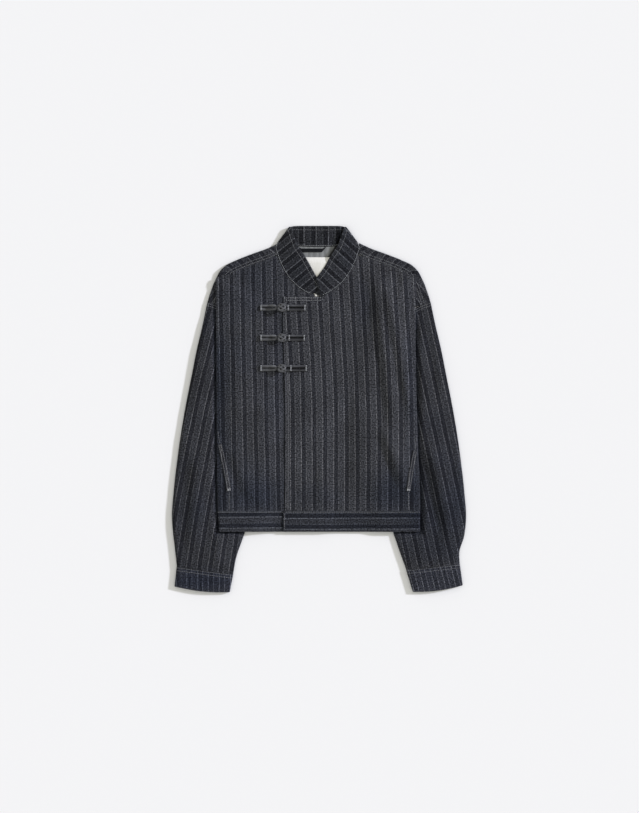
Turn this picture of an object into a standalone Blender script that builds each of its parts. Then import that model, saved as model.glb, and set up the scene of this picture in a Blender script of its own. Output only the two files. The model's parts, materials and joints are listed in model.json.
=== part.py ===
"""Cropped pinstripe jacket with a stand collar and knotted frog fastenings, laid flat on its back.

Metres. +X is the wearer's left, +Y runs up to the collar, +Z is up, and the back lies on z = 0.
"right" and "left" in names are the wearer's, so a right piece is at negative x.
"""

from collections import namedtuple
import math

import bmesh
import bpy
import numpy as np

# Cloth
CLOTH = 0.0012          # one layer
DOUBLED = 0.0020        # collar, cuffs and waistband, two layers pressed
SEAM_GAP = 0.0004       # between pieces that are sewn to each other

# Levels of the middle of each wall over the floor
BACK_LEVEL = CLOTH / 2
FRONT_LEVEL = 0.0038
LIFT = 0.0048           # how far a sleeve under the body lifts it
LIFT_RAMP = 0.045       # the slope from the floor up to that
TIP_LIFT = 0.0026       # the fronts fold over the yoke at the shoulder tip
FLAP_STEP = 0.0016      # the left front lies on the right one
BAND_STEP = 0.0024      # the same for the doubled waistband and collar ends
STEP_RAMP = 0.025

# Body
HEM_Y = -0.2345
BAND_TOP_Y = -0.1960
UNDERLAP_X = 0.0050     # hidden edge of the right front
FLAP_TOP_Y = 0.2150
FLAP_SPLIT_X = 0.0062   # where the flap's top edge meets the neckline
GAP_X = -0.0100         # the right front leaves a small gap below the collar's end from here
GAP_TOP_Y = 0.2195
NECK_GAP = 0.0009       # between the fronts and the collar's seam
ROLL = 0.0026           # radius of the fronts' turned side edges
TIP_Y = 0.2620          # the fronts meet the yoke's seam above this
FOLD_Y = 0.2500         # and have a free turned edge below this
NECK_X = -0.0026        # the neck sits a little to the wearer's right

# Yoke
YOKE_WIDTH = 0.019
YOKE_UNDER = 0.022
YOKE_END_UNDER = 0.034
YOKE_TURN = (FRONT_LEVEL - BACK_LEVEL) / 2
YOKE_GAP = 0.0015       # between its end and the collar

# Sleeves and cuffs
SLEEVE_EDGE = 0.0044    # height of the flattened tube at its edges
SLEEVE_CROWN = 0.0045   # how much higher its middle is where nothing lies on it
CUFF_EDGE = 0.0060
CUFF_BOW = 0.004

# Collar
COLLAR_BACK_LEVEL = DOUBLED / 2
COLLAR_STAND = 0.0050   # how far its free edge stands up at the shoulder folds
COLLAR_FOLD_SEAM = (0.0760, 0.3173)
COLLAR_FOLD_EDGE = (0.0519, 0.3462)
COLLAR_SEAM_DIP = 0.0053
COLLAR_EDGE_RISE = 0.0043
COLLAR_FAN = 0.68       # how far the free edge runs ahead of the seam, column by column
COLLAR_SHARES = (0, 0.09, 0.18, 0.27, 0.36, 0.45, 0.54, 0.63, 0.72, 0.79, 0.85, 0.897, 0.935, 1)
COLLAR_BACK_SHARES = (0, 0.03, 0.08, 0.18, 0.34, 0.50, 0.66, 0.82, 0.92, 0.97)

# Frog fastenings
FROG_ROWS = {"frog_top": 0.1943, "frog_middle": 0.1365, "frog_low": 0.0781}
CORD_RADIUS = 0.0024
CORD_FLATTEN = 0.65
STEM_END_X = -0.1120
KNOT_X = -0.0710
KNOT_RADIUS = 0.0080
KNOT_FLATTEN = 0.60
LOOP_END_X = -0.0240
STEM_APART = 0.0030     # from the middle to each strand
LOOP_APART = 0.0038

# Small pieces
HANGER = ((-0.0400, 0.0135), (0.3012, 0.3108), 0.0010)
LABEL = ((-0.0290, 0.0240), (0.2095, 0.2912), 0.0008)
POCKET_HALF_WIDTH = 0.0035
POCKET_CLOTH = 0.0010

Side = namedtuple("Side", "y right left")
Lifted = namedtuple("Lifted", "y from_x")
Point = namedtuple("Point", "x y")
Ring = namedtuple("Ring", "out_x out_y in_x in_y bow")
Fold = namedtuple("Fold", "x0 y0 x1 y1 width height")
Slit = namedtuple("Slit", "side x0 y0 x1 y1")

# The fold at each side of the body, as a distance from the middle
SIDES = (
    Side(-0.2345, 0.1915, 0.1935),
    Side(-0.1960, 0.1943, 0.1939),
    Side(-0.1555, 0.1953, 0.1935),
    Side(-0.0787, 0.1962, 0.1900),
    Side(0.0173, 0.1968, 0.1872),
    Side(0.1133, 0.1972, 0.1853),
    Side(0.1997, 0.1974, 0.1850),
    Side(0.2515, 0.1966, 0.1853),
    Side(0.2700, 0.1930, 0.1840),
)

# How far out the body rests at full height on a sleeve
LIFTED = (
    Lifted(-0.2345, 0.1290),
    Lifted(-0.1000, 0.1070),
    Lifted(0.0300, 0.0980),
    Lifted(0.1000, 0.1060),
    Lifted(0.1600, 0.1200),
    Lifted(0.2050, 0.1430),
    Lifted(0.2320, 0.1760),
    Lifted(0.2500, 0.2150),
    Lifted(0.2650, 0.2500),
    Lifted(0.3200, 0.4000),
)

# Outline of a shoulder from the neck to the armhole seam
SHOULDER = (
    Point(0.0778, 0.3180),
    Point(0.0975, 0.3088),
    Point(0.1285, 0.2975),
    Point(0.1575, 0.2860),
    Point(0.1800, 0.2745),
    Point(0.1910, 0.2630),
    Point(0.1970, 0.2515),
    Point(0.2025, 0.2400),
    Point(0.2065, 0.2285),
    Point(0.2105, 0.2170),
    Point(0.2140, 0.2050),
)
YOKE_END_WIDTH = {-1: 0.024, 1: 0.034}

# The back panel's edge inside the yoke, as a distance from the middle
BACK_EDGE = (
    Side(0.1830, 0.1950, 0.1828),
    Side(0.1960, 0.1790, 0.1760),
    Side(0.2130, 0.1770, 0.1740),
    Side(0.2300, 0.1750, 0.1730),
    Side(0.2400, 0.1730, 0.1720),
    Side(0.2490, 0.1700, 0.1700),
    Side(0.2560, 0.1640, 0.1640),
    Side(0.2650, 0.1465, 0.1465),
    Side(0.2750, 0.1190, 0.1190),
    Side(0.2860, 0.0880, 0.0880),
    Side(0.2930, 0.0735, 0.0720),
)

# Neck seam and the collar's free edge, from the shoulder fold to the front end, from the neck's middle
NECK_SEAM = (
    Point(0.0805, 0.3105),
    Point(0.0772, 0.2965),
    Point(0.0700, 0.2770),
    Point(0.0590, 0.2575),
    Point(0.0472, 0.2427),
    Point(0.0302, 0.2290),
)
SEAM_END = {
    -1: (Point(0.0120, 0.2200), Point(0.0050, 0.2206), Point(0.0010, 0.2165), Point(-0.0086, 0.2158)),
    1: (Point(0.0105, 0.2180), Point(0.0050, 0.2164)),
}
COLLAR_EDGE = (
    Point(0.0465, 0.3327),
    Point(0.0390, 0.3135),
    Point(0.0252, 0.2925),
    Point(0.0122, 0.2720),
)
EDGE_END = {-1: (Point(0.0020, 0.2534), Point(-0.0035, 0.2440)), 1: (Point(-0.0024, 0.2530),)}

# A sleeve from the armhole to the cuff, right and left alike down to the last part
SLEEVE = (
    Ring(0.2140, 0.2046, 0.1120, 0.0300, 0.82),
    Ring(0.2235, 0.1600, 0.1130, -0.0100, 0.60),
    Ring(0.2345, 0.1133, 0.1160, -0.0500, 0.35),
    Ring(0.2450, 0.0600, 0.1195, -0.0870, 0.15),
    Ring(0.2550, 0.0100, 0.1235, -0.1200, 0.0),
    Ring(0.2705, -0.0864, 0.1330, -0.1880, 0.0),
    Ring(0.2790, -0.1600, 0.1410, -0.2320, 0.0),
)
SLEEVE_END = {
    -1: (
        Ring(0.2822, -0.2080, 0.1490, -0.2560, 0.0),
        Ring(0.2800, -0.2380, 0.1550, -0.2725, 0.0),
        Ring(0.2765, -0.2680, 0.1600, -0.2900, 0.0),
        Ring(0.2727, -0.3020, 0.1648, -0.3168, 0.0),
    ),
    1: (
        Ring(0.2822, -0.2080, 0.1490, -0.2560, 0.0),
        Ring(0.2785, -0.2440, 0.1545, -0.2725, 0.0),
        Ring(0.2695, -0.2740, 0.1605, -0.2890, 0.0),
        Ring(0.2700, -0.2970, 0.1675, -0.3082, 0.0),
    ),
}
CUFF = {
    -1: (Ring(0.2730, -0.3025, 0.1646, -0.3173, 0.0), Ring(0.2772, -0.3395, 0.1710, -0.3505, 0.0)),
    1: (Ring(0.2702, -0.2975, 0.1672, -0.3087, 0.0), Ring(0.2757, -0.3372, 0.1797, -0.3498, 0.0)),
}

# The largest soft folds, from one end to the other
FLAP_FOLDS = (
    Fold(0.104, 0.262, 0.142, -0.030, 0.011, 0.0026),
    Fold(0.124, 0.232, 0.178, -0.010, 0.010, 0.0024),
    Fold(0.118, -0.040, 0.166, -0.155, 0.012, 0.0022),
    Fold(0.072, 0.050, 0.070, -0.180, 0.014, 0.0016),
)
RIGHT_FOLDS = (
    Fold(-0.158, 0.205, -0.150, -0.120, 0.020, 0.0022),
    Fold(-0.172, -0.070, -0.132, -0.170, 0.012, 0.0018),
    Fold(-0.100, 0.050, -0.118, -0.170, 0.018, 0.0014),
)
SLEEVE_FOLDS = {
    -1: (
        Fold(-0.222, 0.150, -0.240, -0.040, 0.010, 0.0014),
        Fold(-0.235, -0.080, -0.246, -0.285, 0.012, 0.0028),
        Fold(-0.190, -0.240, -0.196, -0.310, 0.010, 0.0016),
    ),
    1: (
        Fold(0.215, 0.140, 0.236, -0.040, 0.010, 0.0014),
        Fold(0.206, -0.060, 0.260, -0.275, 0.012, 0.0028),
        Fold(0.262, -0.060, 0.272, -0.200, 0.009, 0.0014),
        Fold(0.188, -0.240, 0.200, -0.300, 0.010, 0.0016),
    ),
}

# Pocket mouths, top end to low end
POCKETS = {
    "pocket_right": Slit(-1, -0.1868, -0.068, -0.1722, -0.1565),
    "pocket_left": Slit(1, 0.1815, -0.080, 0.1715, -0.1565),
}

# Colour and roughness of each cloth
CHARCOAL = ((0.052, 0.054, 0.062, 1), 0.88)
NAVY_CHARCOAL = ((0.040, 0.043, 0.055, 1), 0.88)
CORD_CLOTH = ((0.060, 0.062, 0.070, 1), 0.85)
OFF_WHITE = ((0.72, 0.71, 0.68, 1), 0.80)


def ease(t):
    """0 below 0, 1 above 1, smooth between."""
    t = min(max(t, 0.0), 1.0)
    return t * t * (3 - 2 * t)


def mix(a, b, t):
    return a + (b - a) * t


def hermite(places, values, at):
    """A smooth curve through values, a row for each place, read at one place."""
    places = np.asarray(places, float)
    values = np.asarray(values, float)
    slopes = np.gradient(values, places, axis=0)
    k = int(np.clip(np.searchsorted(places, at) - 1, 0, len(places) - 2))
    step = places[k + 1] - places[k]
    t = np.clip((at - places[k]) / step, 0, 1)
    start = (2 * t**3 - 3 * t**2 + 1) * values[k] + (t**3 - 2 * t**2 + t) * step * slopes[k]
    return start + (3 * t**2 - 2 * t**3) * values[k + 1] + (t**3 - t**2) * step * slopes[k + 1]


def lengths(rows):
    """How far along its first two columns each row of a table is, from 0 to 1."""
    steps = np.hypot(*np.diff(np.array(rows)[:, :2], axis=0).T)
    along = np.concatenate([[0], np.cumsum(steps)])
    return along / along[-1]


def along_table(rows, share):
    return hermite(lengths(rows), np.array(rows), share)


def side_x(side, y):
    column = [row.right if side < 0 else row.left for row in SIDES]
    return float(hermite([row.y for row in SIDES], column, y))


def lift(x, y):
    full = float(np.interp(y, [row.y for row in LIFTED], [row.from_x for row in LIFTED]))
    return LIFT * ease((abs(x) - full + LIFT_RAMP) / LIFT_RAMP)


def tip_lift(x, y):
    return TIP_LIFT * ease((abs(x) - 0.150) / 0.012) * ease((0.2690 - y) / 0.006)


def folds(table, x, y):
    """The height that the folds of a table add, each a soft ridge or trough that fades at its ends."""
    total = 0.0
    for fold in table:
        run = np.array([fold.x1 - fold.x0, fold.y1 - fold.y0])
        away = np.array([x - fold.x0, y - fold.y0])
        share = float(away @ run / (run @ run))
        aside = (away[0] * run[1] - away[1] * run[0]) / math.hypot(*run)
        ends = ease(share / 0.25) * ease((1 - share) / 0.25)
        total += fold.height * ends * math.exp(-((aside / fold.width) ** 2))
    return total


def front_height(side, x, y):
    """Middle of a front panel's wall, without its turned edge."""
    inside = ease((side_x(side, y) - abs(x)) / 0.018)
    window = inside * ease((y + 0.192) / 0.030) * ease((0.245 - y) / 0.030)
    table = FLAP_FOLDS if side > 0 else RIGHT_FOLDS
    height = FRONT_LEVEL + lift(x, y) + tip_lift(x, y) + window * folds(table, x, y)
    if side > 0:
        height += FLAP_STEP * ease((FLAP_SPLIT_X + 0.001 + STEP_RAMP - x) / STEP_RAMP)
    return height


def collar_seam(side):
    """Points of the collar's seam from the shoulder fold to the front end, a point for each column."""
    table = (Point(*COLLAR_FOLD_SEAM),) + NECK_SEAM + SEAM_END[side]
    return np.array([along_table(table, share) for share in COLLAR_SHARES])


def shoulder_place(side, share, inward):
    """A point inside the shoulder line, share 0 where it is clear of the collar and 1 at the armhole."""
    line = np.array([along_table(SHOULDER, k) for k in np.linspace(0, 1, 200)])
    places = lengths(line)
    run = np.gradient(line, axis=0)
    run /= np.linalg.norm(run, axis=1)[:, None]
    inside = line + inward * np.stack([run[:, 1], -run[:, 0]], axis=1)
    seam = collar_seam(side)[5::-1]
    collar_x = side * NECK_X + np.interp(inside[:, 1], seam[:, 1], seam[:, 0])
    clear = [YOKE_GAP + 0.0016 * ease((y - 0.3105) / 0.0068) for y in inside[:, 1]]
    start = places[np.argmax(inside[:, 0] > collar_x + clear)]
    return tuple(float(np.interp(mix(start, 1, share), places, inside[:, k])) for k in (0, 1))


def neckline_x(side, y):
    """How far out a front's edge is where it follows the collar's seam."""
    seam = collar_seam(side)
    followed = 11 if side < 0 else len(seam)
    seam = seam[:int(np.argmin(seam[:followed, 1])) + 1]
    run = np.gradient(seam, axis=0)
    run /= np.linalg.norm(run, axis=1)[:, None]
    edge = seam + NECK_GAP * np.stack([-run[:, 1], run[:, 0]], axis=1)
    return side * NECK_X + float(np.interp(y, edge[::-1, 1], edge[::-1, 0]))


def front_outer(side, y, seam):
    """How far out a front reaches at y: the side fold, or the yoke's seam above the shoulder tip."""
    at_seam = float(np.interp(-max(y, TIP_Y), [-p[1] for p in seam], [p[0] for p in seam]))
    if y >= TIP_Y:
        return at_seam
    return mix(at_seam, side_x(side, y), ease((TIP_Y - y) / (TIP_Y - FOLD_Y)))


def material(name, look):
    made = bpy.data.materials.new(name)
    made.use_nodes = True
    shader = made.node_tree.nodes["Principled BSDF"]
    shader.inputs["Base Color"].default_value = look[0]
    shader.inputs["Roughness"].default_value = look[1]
    shader.inputs["Metallic"].default_value = 0.0
    return made


def placed(name, mesh, look):
    """A named object of the jacket with its own material."""
    mesh.materials.append(material(name, look))
    made = bpy.data.objects.new(name, mesh)
    jacket.objects.link(made)
    return made


def cloth(name, columns, rows, place, wall, look, left_out=None, closed=False):
    """A wall of cloth from a grid whose points place(column, row) moves to their places."""
    shape = bmesh.new()
    bmesh.ops.create_grid(shape, x_segments=columns, y_segments=rows, size=0.5)
    if left_out:
        gone = []
        for face in shape.faces:
            middle = face.calc_center_median()
            if left_out((middle.x + 0.5) * columns, (middle.y + 0.5) * rows):
                gone.append(face)
        bmesh.ops.delete(shape, geom=gone, context="FACES")
    for point in shape.verts:
        column = round((point.co.x + 0.5) * columns)
        row = round((point.co.y + 0.5) * rows)
        point.co = place(column, row)
    if closed:
        bmesh.ops.remove_doubles(shape, verts=shape.verts, dist=0.00001)
    bmesh.ops.recalc_face_normals(shape, faces=shape.faces)
    mesh = bpy.data.meshes.new(name)
    shape.to_mesh(mesh)
    shape.free()
    made = placed(name, mesh, look)
    mesh.shade_smooth()
    solid = made.modifiers.new("wall", "SOLIDIFY")
    solid.thickness = wall
    solid.offset = 0
    solid.use_even_offset = True
    solid.use_quality_normals = True
    solid.use_rim = True
    return made


def make_front(side):
    """A front panel, grid columns from its inner edge to the turned side edge, rows from hem to shoulder."""
    seam = [shoulder_place(side, share, YOKE_WIDTH + SEAM_GAP) for share in np.linspace(0, 1, 60)]
    low = np.linspace(BAND_TOP_Y + SEAM_GAP, 0.2060, 16)
    high = (0.2105, FLAP_TOP_Y, 0.2170, 0.2190, 0.2210, 0.2235, 0.2265, 0.2300, 0.2340, 0.2385, 0.2440, 0.2500,
            0.2550, 0.2590, 0.2625, 0.2670, 0.2720, 0.2790, 0.2860, 0.2926)
    heights = [*low, *high]
    flap_columns = 6 if side > 0 else 0
    body_columns = 16
    turns = 4
    top_row = heights.index(FLAP_TOP_Y)

    def inner_x(y):
        if side > 0:
            return max(FLAP_SPLIT_X, neckline_x(side, y)) if y > FLAP_TOP_Y else FLAP_SPLIT_X
        under = mix(UNDERLAP_X, GAP_X, ease((y - 0.2070) / 0.0065))
        return min(under, -neckline_x(side, y)) if y > GAP_TOP_Y else under

    def place(column, row):
        y = heights[row]
        outer = front_outer(side, y, seam)
        bend = math.radians(90) * ease((FOLD_Y - y) / 0.035)
        step = ROLL * math.radians(90) / (turns - 1)
        angles = [bend * min(k / (turns - 1), 1) for k in range(1, turns + 1)]
        turn_starts = outer - CLOTH / 2 * math.sin(bend) - sum(step * math.cos(a) for a in angles)
        past = column - flap_columns - body_columns
        if past > 0:
            x = turn_starts + sum(step * math.cos(a) for a in angles[:past])
            z = front_height(side, side * turn_starts, y) - sum(step * math.sin(a) for a in angles[:past])
            return side * x, y, z
        if column < flap_columns:
            edge = float(np.interp(y, (BAND_TOP_Y, 0.05, 0.15, FLAP_TOP_Y), (-0.0665, -0.0655, -0.0665, -0.0680)))
            x = mix(edge, FLAP_SPLIT_X, column / flap_columns)
        else:
            x = mix(inner_x(y), side * turn_starts, (column - flap_columns) / body_columns)
        return x, y, front_height(side, x, y)

    def above_flap(column, row):
        return column < flap_columns and row > top_row

    name = "front_left" if side > 0 else "front_right"
    columns = flap_columns + body_columns + turns
    return cloth(name, columns, len(heights) - 1, place, CLOTH, CHARCOAL, above_flap)


def collar_back_seam_y(x):
    return COLLAR_FOLD_SEAM[1] - COLLAR_SEAM_DIP * (1 - (x / COLLAR_FOLD_SEAM[0]) ** 2)


def make_back():
    """The back panel, flat on the floor and lifted at its sides, up to the neck seam."""
    heights = [*np.linspace(BAND_TOP_Y + SEAM_GAP, BACK_EDGE[0].y, 11), *(row.y for row in BACK_EDGE[1:])]
    neck_rows = 3
    half = (0, 0.16, 0.28, 0.37, 0.46, 0.55, 0.64, 0.74, 0.86, 1)
    shares = [0.5 - k / 2 for k in half[:0:-1]] + [0.5 + k / 2 for k in half]
    columns = len(shares) - 1

    def edge_x(side, y):
        if y <= BACK_EDGE[0].y:
            return side_x(side, y) - CLOTH - SEAM_GAP - 0.0006
        column = [row.right if side < 0 else row.left for row in BACK_EDGE]
        return float(np.interp(y, [row.y for row in BACK_EDGE], column))

    def place(column, row):
        y = heights[min(row, len(heights) - 1)]
        x = mix(-edge_x(-1, y), edge_x(1, y), shares[column])
        above = row - len(heights) + 1
        if above > 0:
            y = mix(y, collar_back_seam_y(x - NECK_X) - SEAM_GAP, above / neck_rows)
        return x, y, BACK_LEVEL + lift(x, y)

    return cloth("back", columns, len(heights) - 1 + neck_rows, place, CLOTH, CHARCOAL)


def make_yoke(side):
    """The strip over a shoulder: a leg under it, a turn at the outline and a leg on top."""
    rows = 14
    under, turn, top = 2, 4, 4

    def place(column, row):
        width = mix(YOKE_WIDTH, YOKE_END_WIDTH[side], ease((row / rows - 0.6) / 0.4))
        below = mix(YOKE_UNDER, YOKE_END_UNDER, ease((row / rows - 0.68) / 0.3))
        turn_from = CLOTH / 2 + YOKE_TURN
        if column <= under:
            inward, z = mix(below, turn_from, column / under), BACK_LEVEL
        elif column <= under + turn:
            angle = math.pi * (column - under) / turn
            inward = turn_from - YOKE_TURN * math.sin(angle)
            z = BACK_LEVEL + YOKE_TURN * (1 - math.cos(angle))
        else:
            inward, z = mix(turn_from, width, (column - under - turn) / top), FRONT_LEVEL
        x, y = shoulder_place(side, row / rows, inward)
        return side * x, y, z

    name = "yoke_left" if side > 0 else "yoke_right"
    return cloth(name, under + turn + top, rows, place, CLOTH, CHARCOAL)


def uncovered(side, x, y):
    """1 where nothing lies on the sleeve, 0 under the body."""
    outside = max(abs(x) - side_x(side, max(y, HEM_Y)), HEM_Y - y)
    return ease((outside - 0.002) / 0.030)


def tube_point(ring, side, share_round, counts, wall, edge_height, crown):
    """A point of a flattened tube's section: along under, round the outer edge, back on top, round the inner."""
    low, cap, top = counts
    wide = math.hypot(ring.out_x - ring.in_x, ring.out_y - ring.in_y)
    turn = (edge_height - wall) / 2
    near = (wall / 2 + turn) / wide
    k = share_round
    if k <= low:
        f, z = mix(near, 1 - near, k / low), wall / 2
    elif k <= low + cap:
        angle = math.pi * (k - low) / cap
        f, z = 1 - near + turn * math.sin(angle) / wide, wall / 2 + turn * (1 - math.cos(angle))
    elif k <= low + cap + top:
        f, z = mix(1 - near, near, (k - low - cap) / top), edge_height - wall / 2
    else:
        angle = math.pi * (k - low - cap - top) / cap
        f, z = near - turn * math.sin(angle) / wide, wall / 2 + turn * (1 + math.cos(angle))
    x = side * mix(ring.in_x, ring.out_x, f)
    inward = (1 - ring.bow) * (1 - f) + ring.bow * (1 - f) ** 3
    y = mix(ring.out_y, ring.in_y, inward)
    if low + cap < k < low + cap + top:
        z += crown(x, y, f)
    return x, y, z


def make_sleeve(side):
    rings = SLEEVE + SLEEVE_END[side]
    rows = 15
    counts = (5, 4, 10)
    around = counts[0] + counts[2] + 2 * counts[1]

    def place(column, row):
        share = row / rows
        ring = Ring(*along_table(rings, share))

        def crown(x, y, f):
            free = uncovered(side, x, y) * ease(share / 0.10)
            rounded = math.sin(math.pi * f) ** 0.5
            return free * rounded * (SLEEVE_CROWN + folds(SLEEVE_FOLDS[side], x, y))

        return tube_point(ring, side, column, counts, CLOTH, SLEEVE_EDGE, crown)

    name = "sleeve_left" if side > 0 else "sleeve_right"
    return cloth(name, around, rows, place, CLOTH, CHARCOAL, closed=True)


def make_cuff(side):
    first, last = CUFF[side]
    rows = 3
    counts = (6, 4, 6)
    around = counts[0] + counts[2] + 2 * counts[1]

    def place(column, row):
        ring = Ring(*(mix(a, b, row / rows) for a, b in zip(first, last)))

        def crown(x, y, f):
            return 0.0012 * math.sin(math.pi * f)

        x, y, z = tube_point(ring, side, column, counts, DOUBLED, CUFF_EDGE, crown)
        across = (abs(x) - ring.in_x) / (ring.out_x - ring.in_x)
        bow = CUFF_BOW * (row / rows) * math.sin(math.pi * min(max(across, 0), 1))
        return x, y - bow, z

    name = "cuff_left" if side > 0 else "cuff_right"
    return cloth(name, around, rows, place, DOUBLED, NAVY_CHARCOAL, closed=True)


def make_collar():
    """One doubled band: right end, round the right fold, along the back, round the left fold, left end."""
    turn, rows = 4, 4
    fold_run = np.array(COLLAR_FOLD_EDGE) - np.array(COLLAR_FOLD_SEAM)
    fold_out = np.array([fold_run[1], -fold_run[0]]) / np.hypot(*fold_run)

    def front_column(side, share):
        """Seam and edge points of a front column, share 0 at the fold and 1 at the front end."""
        seam = collar_seam(side)[COLLAR_SHARES.index(share)]
        edge = (Point(*COLLAR_FOLD_EDGE),) + COLLAR_EDGE + EDGE_END[side]
        ahead = share + COLLAR_FAN * share * (1 - share)
        stand = COLLAR_STAND * (1 - ease(share / 0.75))
        points = []
        for (x, y), up in ((seam, 0), (along_table(edge, min(ahead, 1)), stand)):
            x = NECK_X + side * x
            z = FRONT_LEVEL + up
            if side > 0:
                z += BAND_STEP * ease((0.046 - x) / 0.032) * ease((0.30 - y) / 0.05)
            points.append((x, y, z))
        return points

    def fold_column(side, share):
        """Columns round a shoulder fold, share 0 on the front side and 1 on the back."""
        angle = math.pi * share
        points = []
        for (x, y), up, rise in ((COLLAR_FOLD_SEAM, 0, fold_out[1]), (COLLAR_FOLD_EDGE, COLLAR_STAND, 0)):
            radius = (FRONT_LEVEL + up - COLLAR_BACK_LEVEL) / 2
            out = radius * math.sin(angle)
            z = COLLAR_BACK_LEVEL + radius * (1 + math.cos(angle))
            points.append((NECK_X + side * (x + fold_out[0] * out), y + rise * out, z))
        return points

    def back_column(share):
        seam_x = mix(-COLLAR_FOLD_SEAM[0], COLLAR_FOLD_SEAM[0], share)
        edge_x = mix(-COLLAR_FOLD_EDGE[0], COLLAR_FOLD_EDGE[0], share)
        edge_y = COLLAR_FOLD_EDGE[1] + COLLAR_EDGE_RISE * (1 - (2 * share - 1) ** 10)
        return [(NECK_X + seam_x, collar_back_seam_y(seam_x), COLLAR_BACK_LEVEL),
                (NECK_X + edge_x, edge_y, COLLAR_BACK_LEVEL)]

    band = [front_column(-1, share) for share in COLLAR_SHARES[:0:-1]]
    band += [fold_column(-1, k / turn) for k in range(turn)]
    band += [back_column(share) for share in COLLAR_BACK_SHARES]
    band += [fold_column(1, 1 - k / turn) for k in range(turn)]
    band += [front_column(1, share) for share in COLLAR_SHARES]

    def place(column, row):
        seam, edge = band[column]
        return tuple(mix(a, b, row / rows) for a, b in zip(seam, edge))

    return cloth("collar", len(band) - 1, rows, place, DOUBLED, NAVY_CHARCOAL)


def make_waistband():
    """One doubled band: the flap's end, left side, back, right side, and the end under the flap."""
    rows = 2
    heights = [mix(HEM_Y, BAND_TOP_Y, k / rows) for k in range(rows + 1)]
    turn = (FRONT_LEVEL - COLLAR_BACK_LEVEL) / 2
    inset = DOUBLED / 2 + turn

    def front_run(x, y):
        step = BAND_STEP * ease((UNDERLAP_X + 0.0035 + STEP_RAMP - x) / STEP_RAMP)
        return x, y, FRONT_LEVEL + lift(x, y) + step

    def under_run(x, y):
        return x, y, FRONT_LEVEL + lift(x, y)

    def back_run(x, y):
        return x, y, COLLAR_BACK_LEVEL + lift(x, y)

    def round_side(side, share, y):
        """Round a side, share 0 on the front and 1 on the back."""
        angle = math.pi * share
        x = side * (side_x(side, y) - inset + turn * math.sin(angle))
        return x, y, COLLAR_BACK_LEVEL + LIFT + turn * (1 + math.cos(angle))

    stations = []
    for k in range(16):
        stations.append(lambda y, k=k: front_run(mix(-0.0665, side_x(1, y) - inset, k / 16), y))
    for k in range(4):
        stations.append(lambda y, k=k: round_side(1, k / 4, y))
    for k in range(22):
        stations.append(lambda y, k=k: back_run(mix(side_x(1, y) - inset, -side_x(-1, y) + inset, k / 22), y))
    for k in range(4):
        stations.append(lambda y, k=k: round_side(-1, 1 - k / 4, y))
    for k in range(13):
        stations.append(lambda y, k=k: under_run(mix(-side_x(-1, y) + inset, UNDERLAP_X, k / 12), y))

    def place(column, row):
        return stations[column](heights[row])

    return cloth("waistband", len(stations) - 1, rows, place, DOUBLED, NAVY_CHARCOAL)


def make_pocket(name, slit):
    """The stitched edge of a pocket mouth, made from the panel's own points and moved out."""
    rows, columns = 8, 2
    run = np.array([slit.x1 - slit.x0, slit.y1 - slit.y0])
    across = np.array([run[1], -run[0]]) / np.hypot(*run)
    above = CLOTH / 2 + SEAM_GAP + POCKET_CLOTH / 2

    def place(column, row):
        aside = POCKET_HALF_WIDTH * (2 * column / columns - 1)
        x, y = np.array([slit.x0, slit.y0]) + run * (row / rows) + across * aside
        return x, y, front_height(slit.side, x, y) + above

    return cloth(name, columns, rows, place, POCKET_CLOTH, CHARCOAL)


def make_flat(name, size, look):
    """A small flat rectangle of cloth that lies on the inside of the back."""
    (left, right), (low, high), wall = size
    shape = bmesh.new()
    bmesh.ops.create_cube(shape, size=1)
    for point in shape.verts:
        point.co.x = mix(left, right, point.co.x + 0.5)
        point.co.y = mix(low, high, point.co.y + 0.5)
        point.co.z = CLOTH + 0.0003 + wall * (point.co.z + 0.5)
    mesh = bpy.data.meshes.new(name)
    shape.to_mesh(mesh)
    shape.free()
    return placed(name, mesh, look)


def make_cord(name, path, look):
    """A rounded cord along a path, a little flattened as it lies on the cloth."""
    line = bpy.data.curves.new(name, "CURVE")
    line.dimensions = "3D"
    line.bevel_depth = CORD_RADIUS
    line.bevel_resolution = 1
    line.use_fill_caps = True
    spline = line.splines.new("POLY")
    spline.points.add(len(path) - 1)
    for point, (x, y, z) in zip(spline.points, path):
        point.co = (x, y, z / CORD_FLATTEN, 1)
    drawn = bpy.data.objects.new(name + "_line", line)
    mesh = bpy.data.meshes.new_from_object(drawn)
    bpy.data.objects.remove(drawn)
    bpy.data.curves.remove(line)
    shape = bmesh.new()
    shape.from_mesh(mesh)
    bmesh.ops.remove_doubles(shape, verts=shape.verts, dist=0.00001)
    bmesh.ops.scale(shape, vec=(1, 1, CORD_FLATTEN), verts=shape.verts)
    shape.to_mesh(mesh)
    shape.free()
    mesh.name = name
    mesh.materials.clear()
    mesh.shade_smooth()
    return placed(name, mesh, look)


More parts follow.
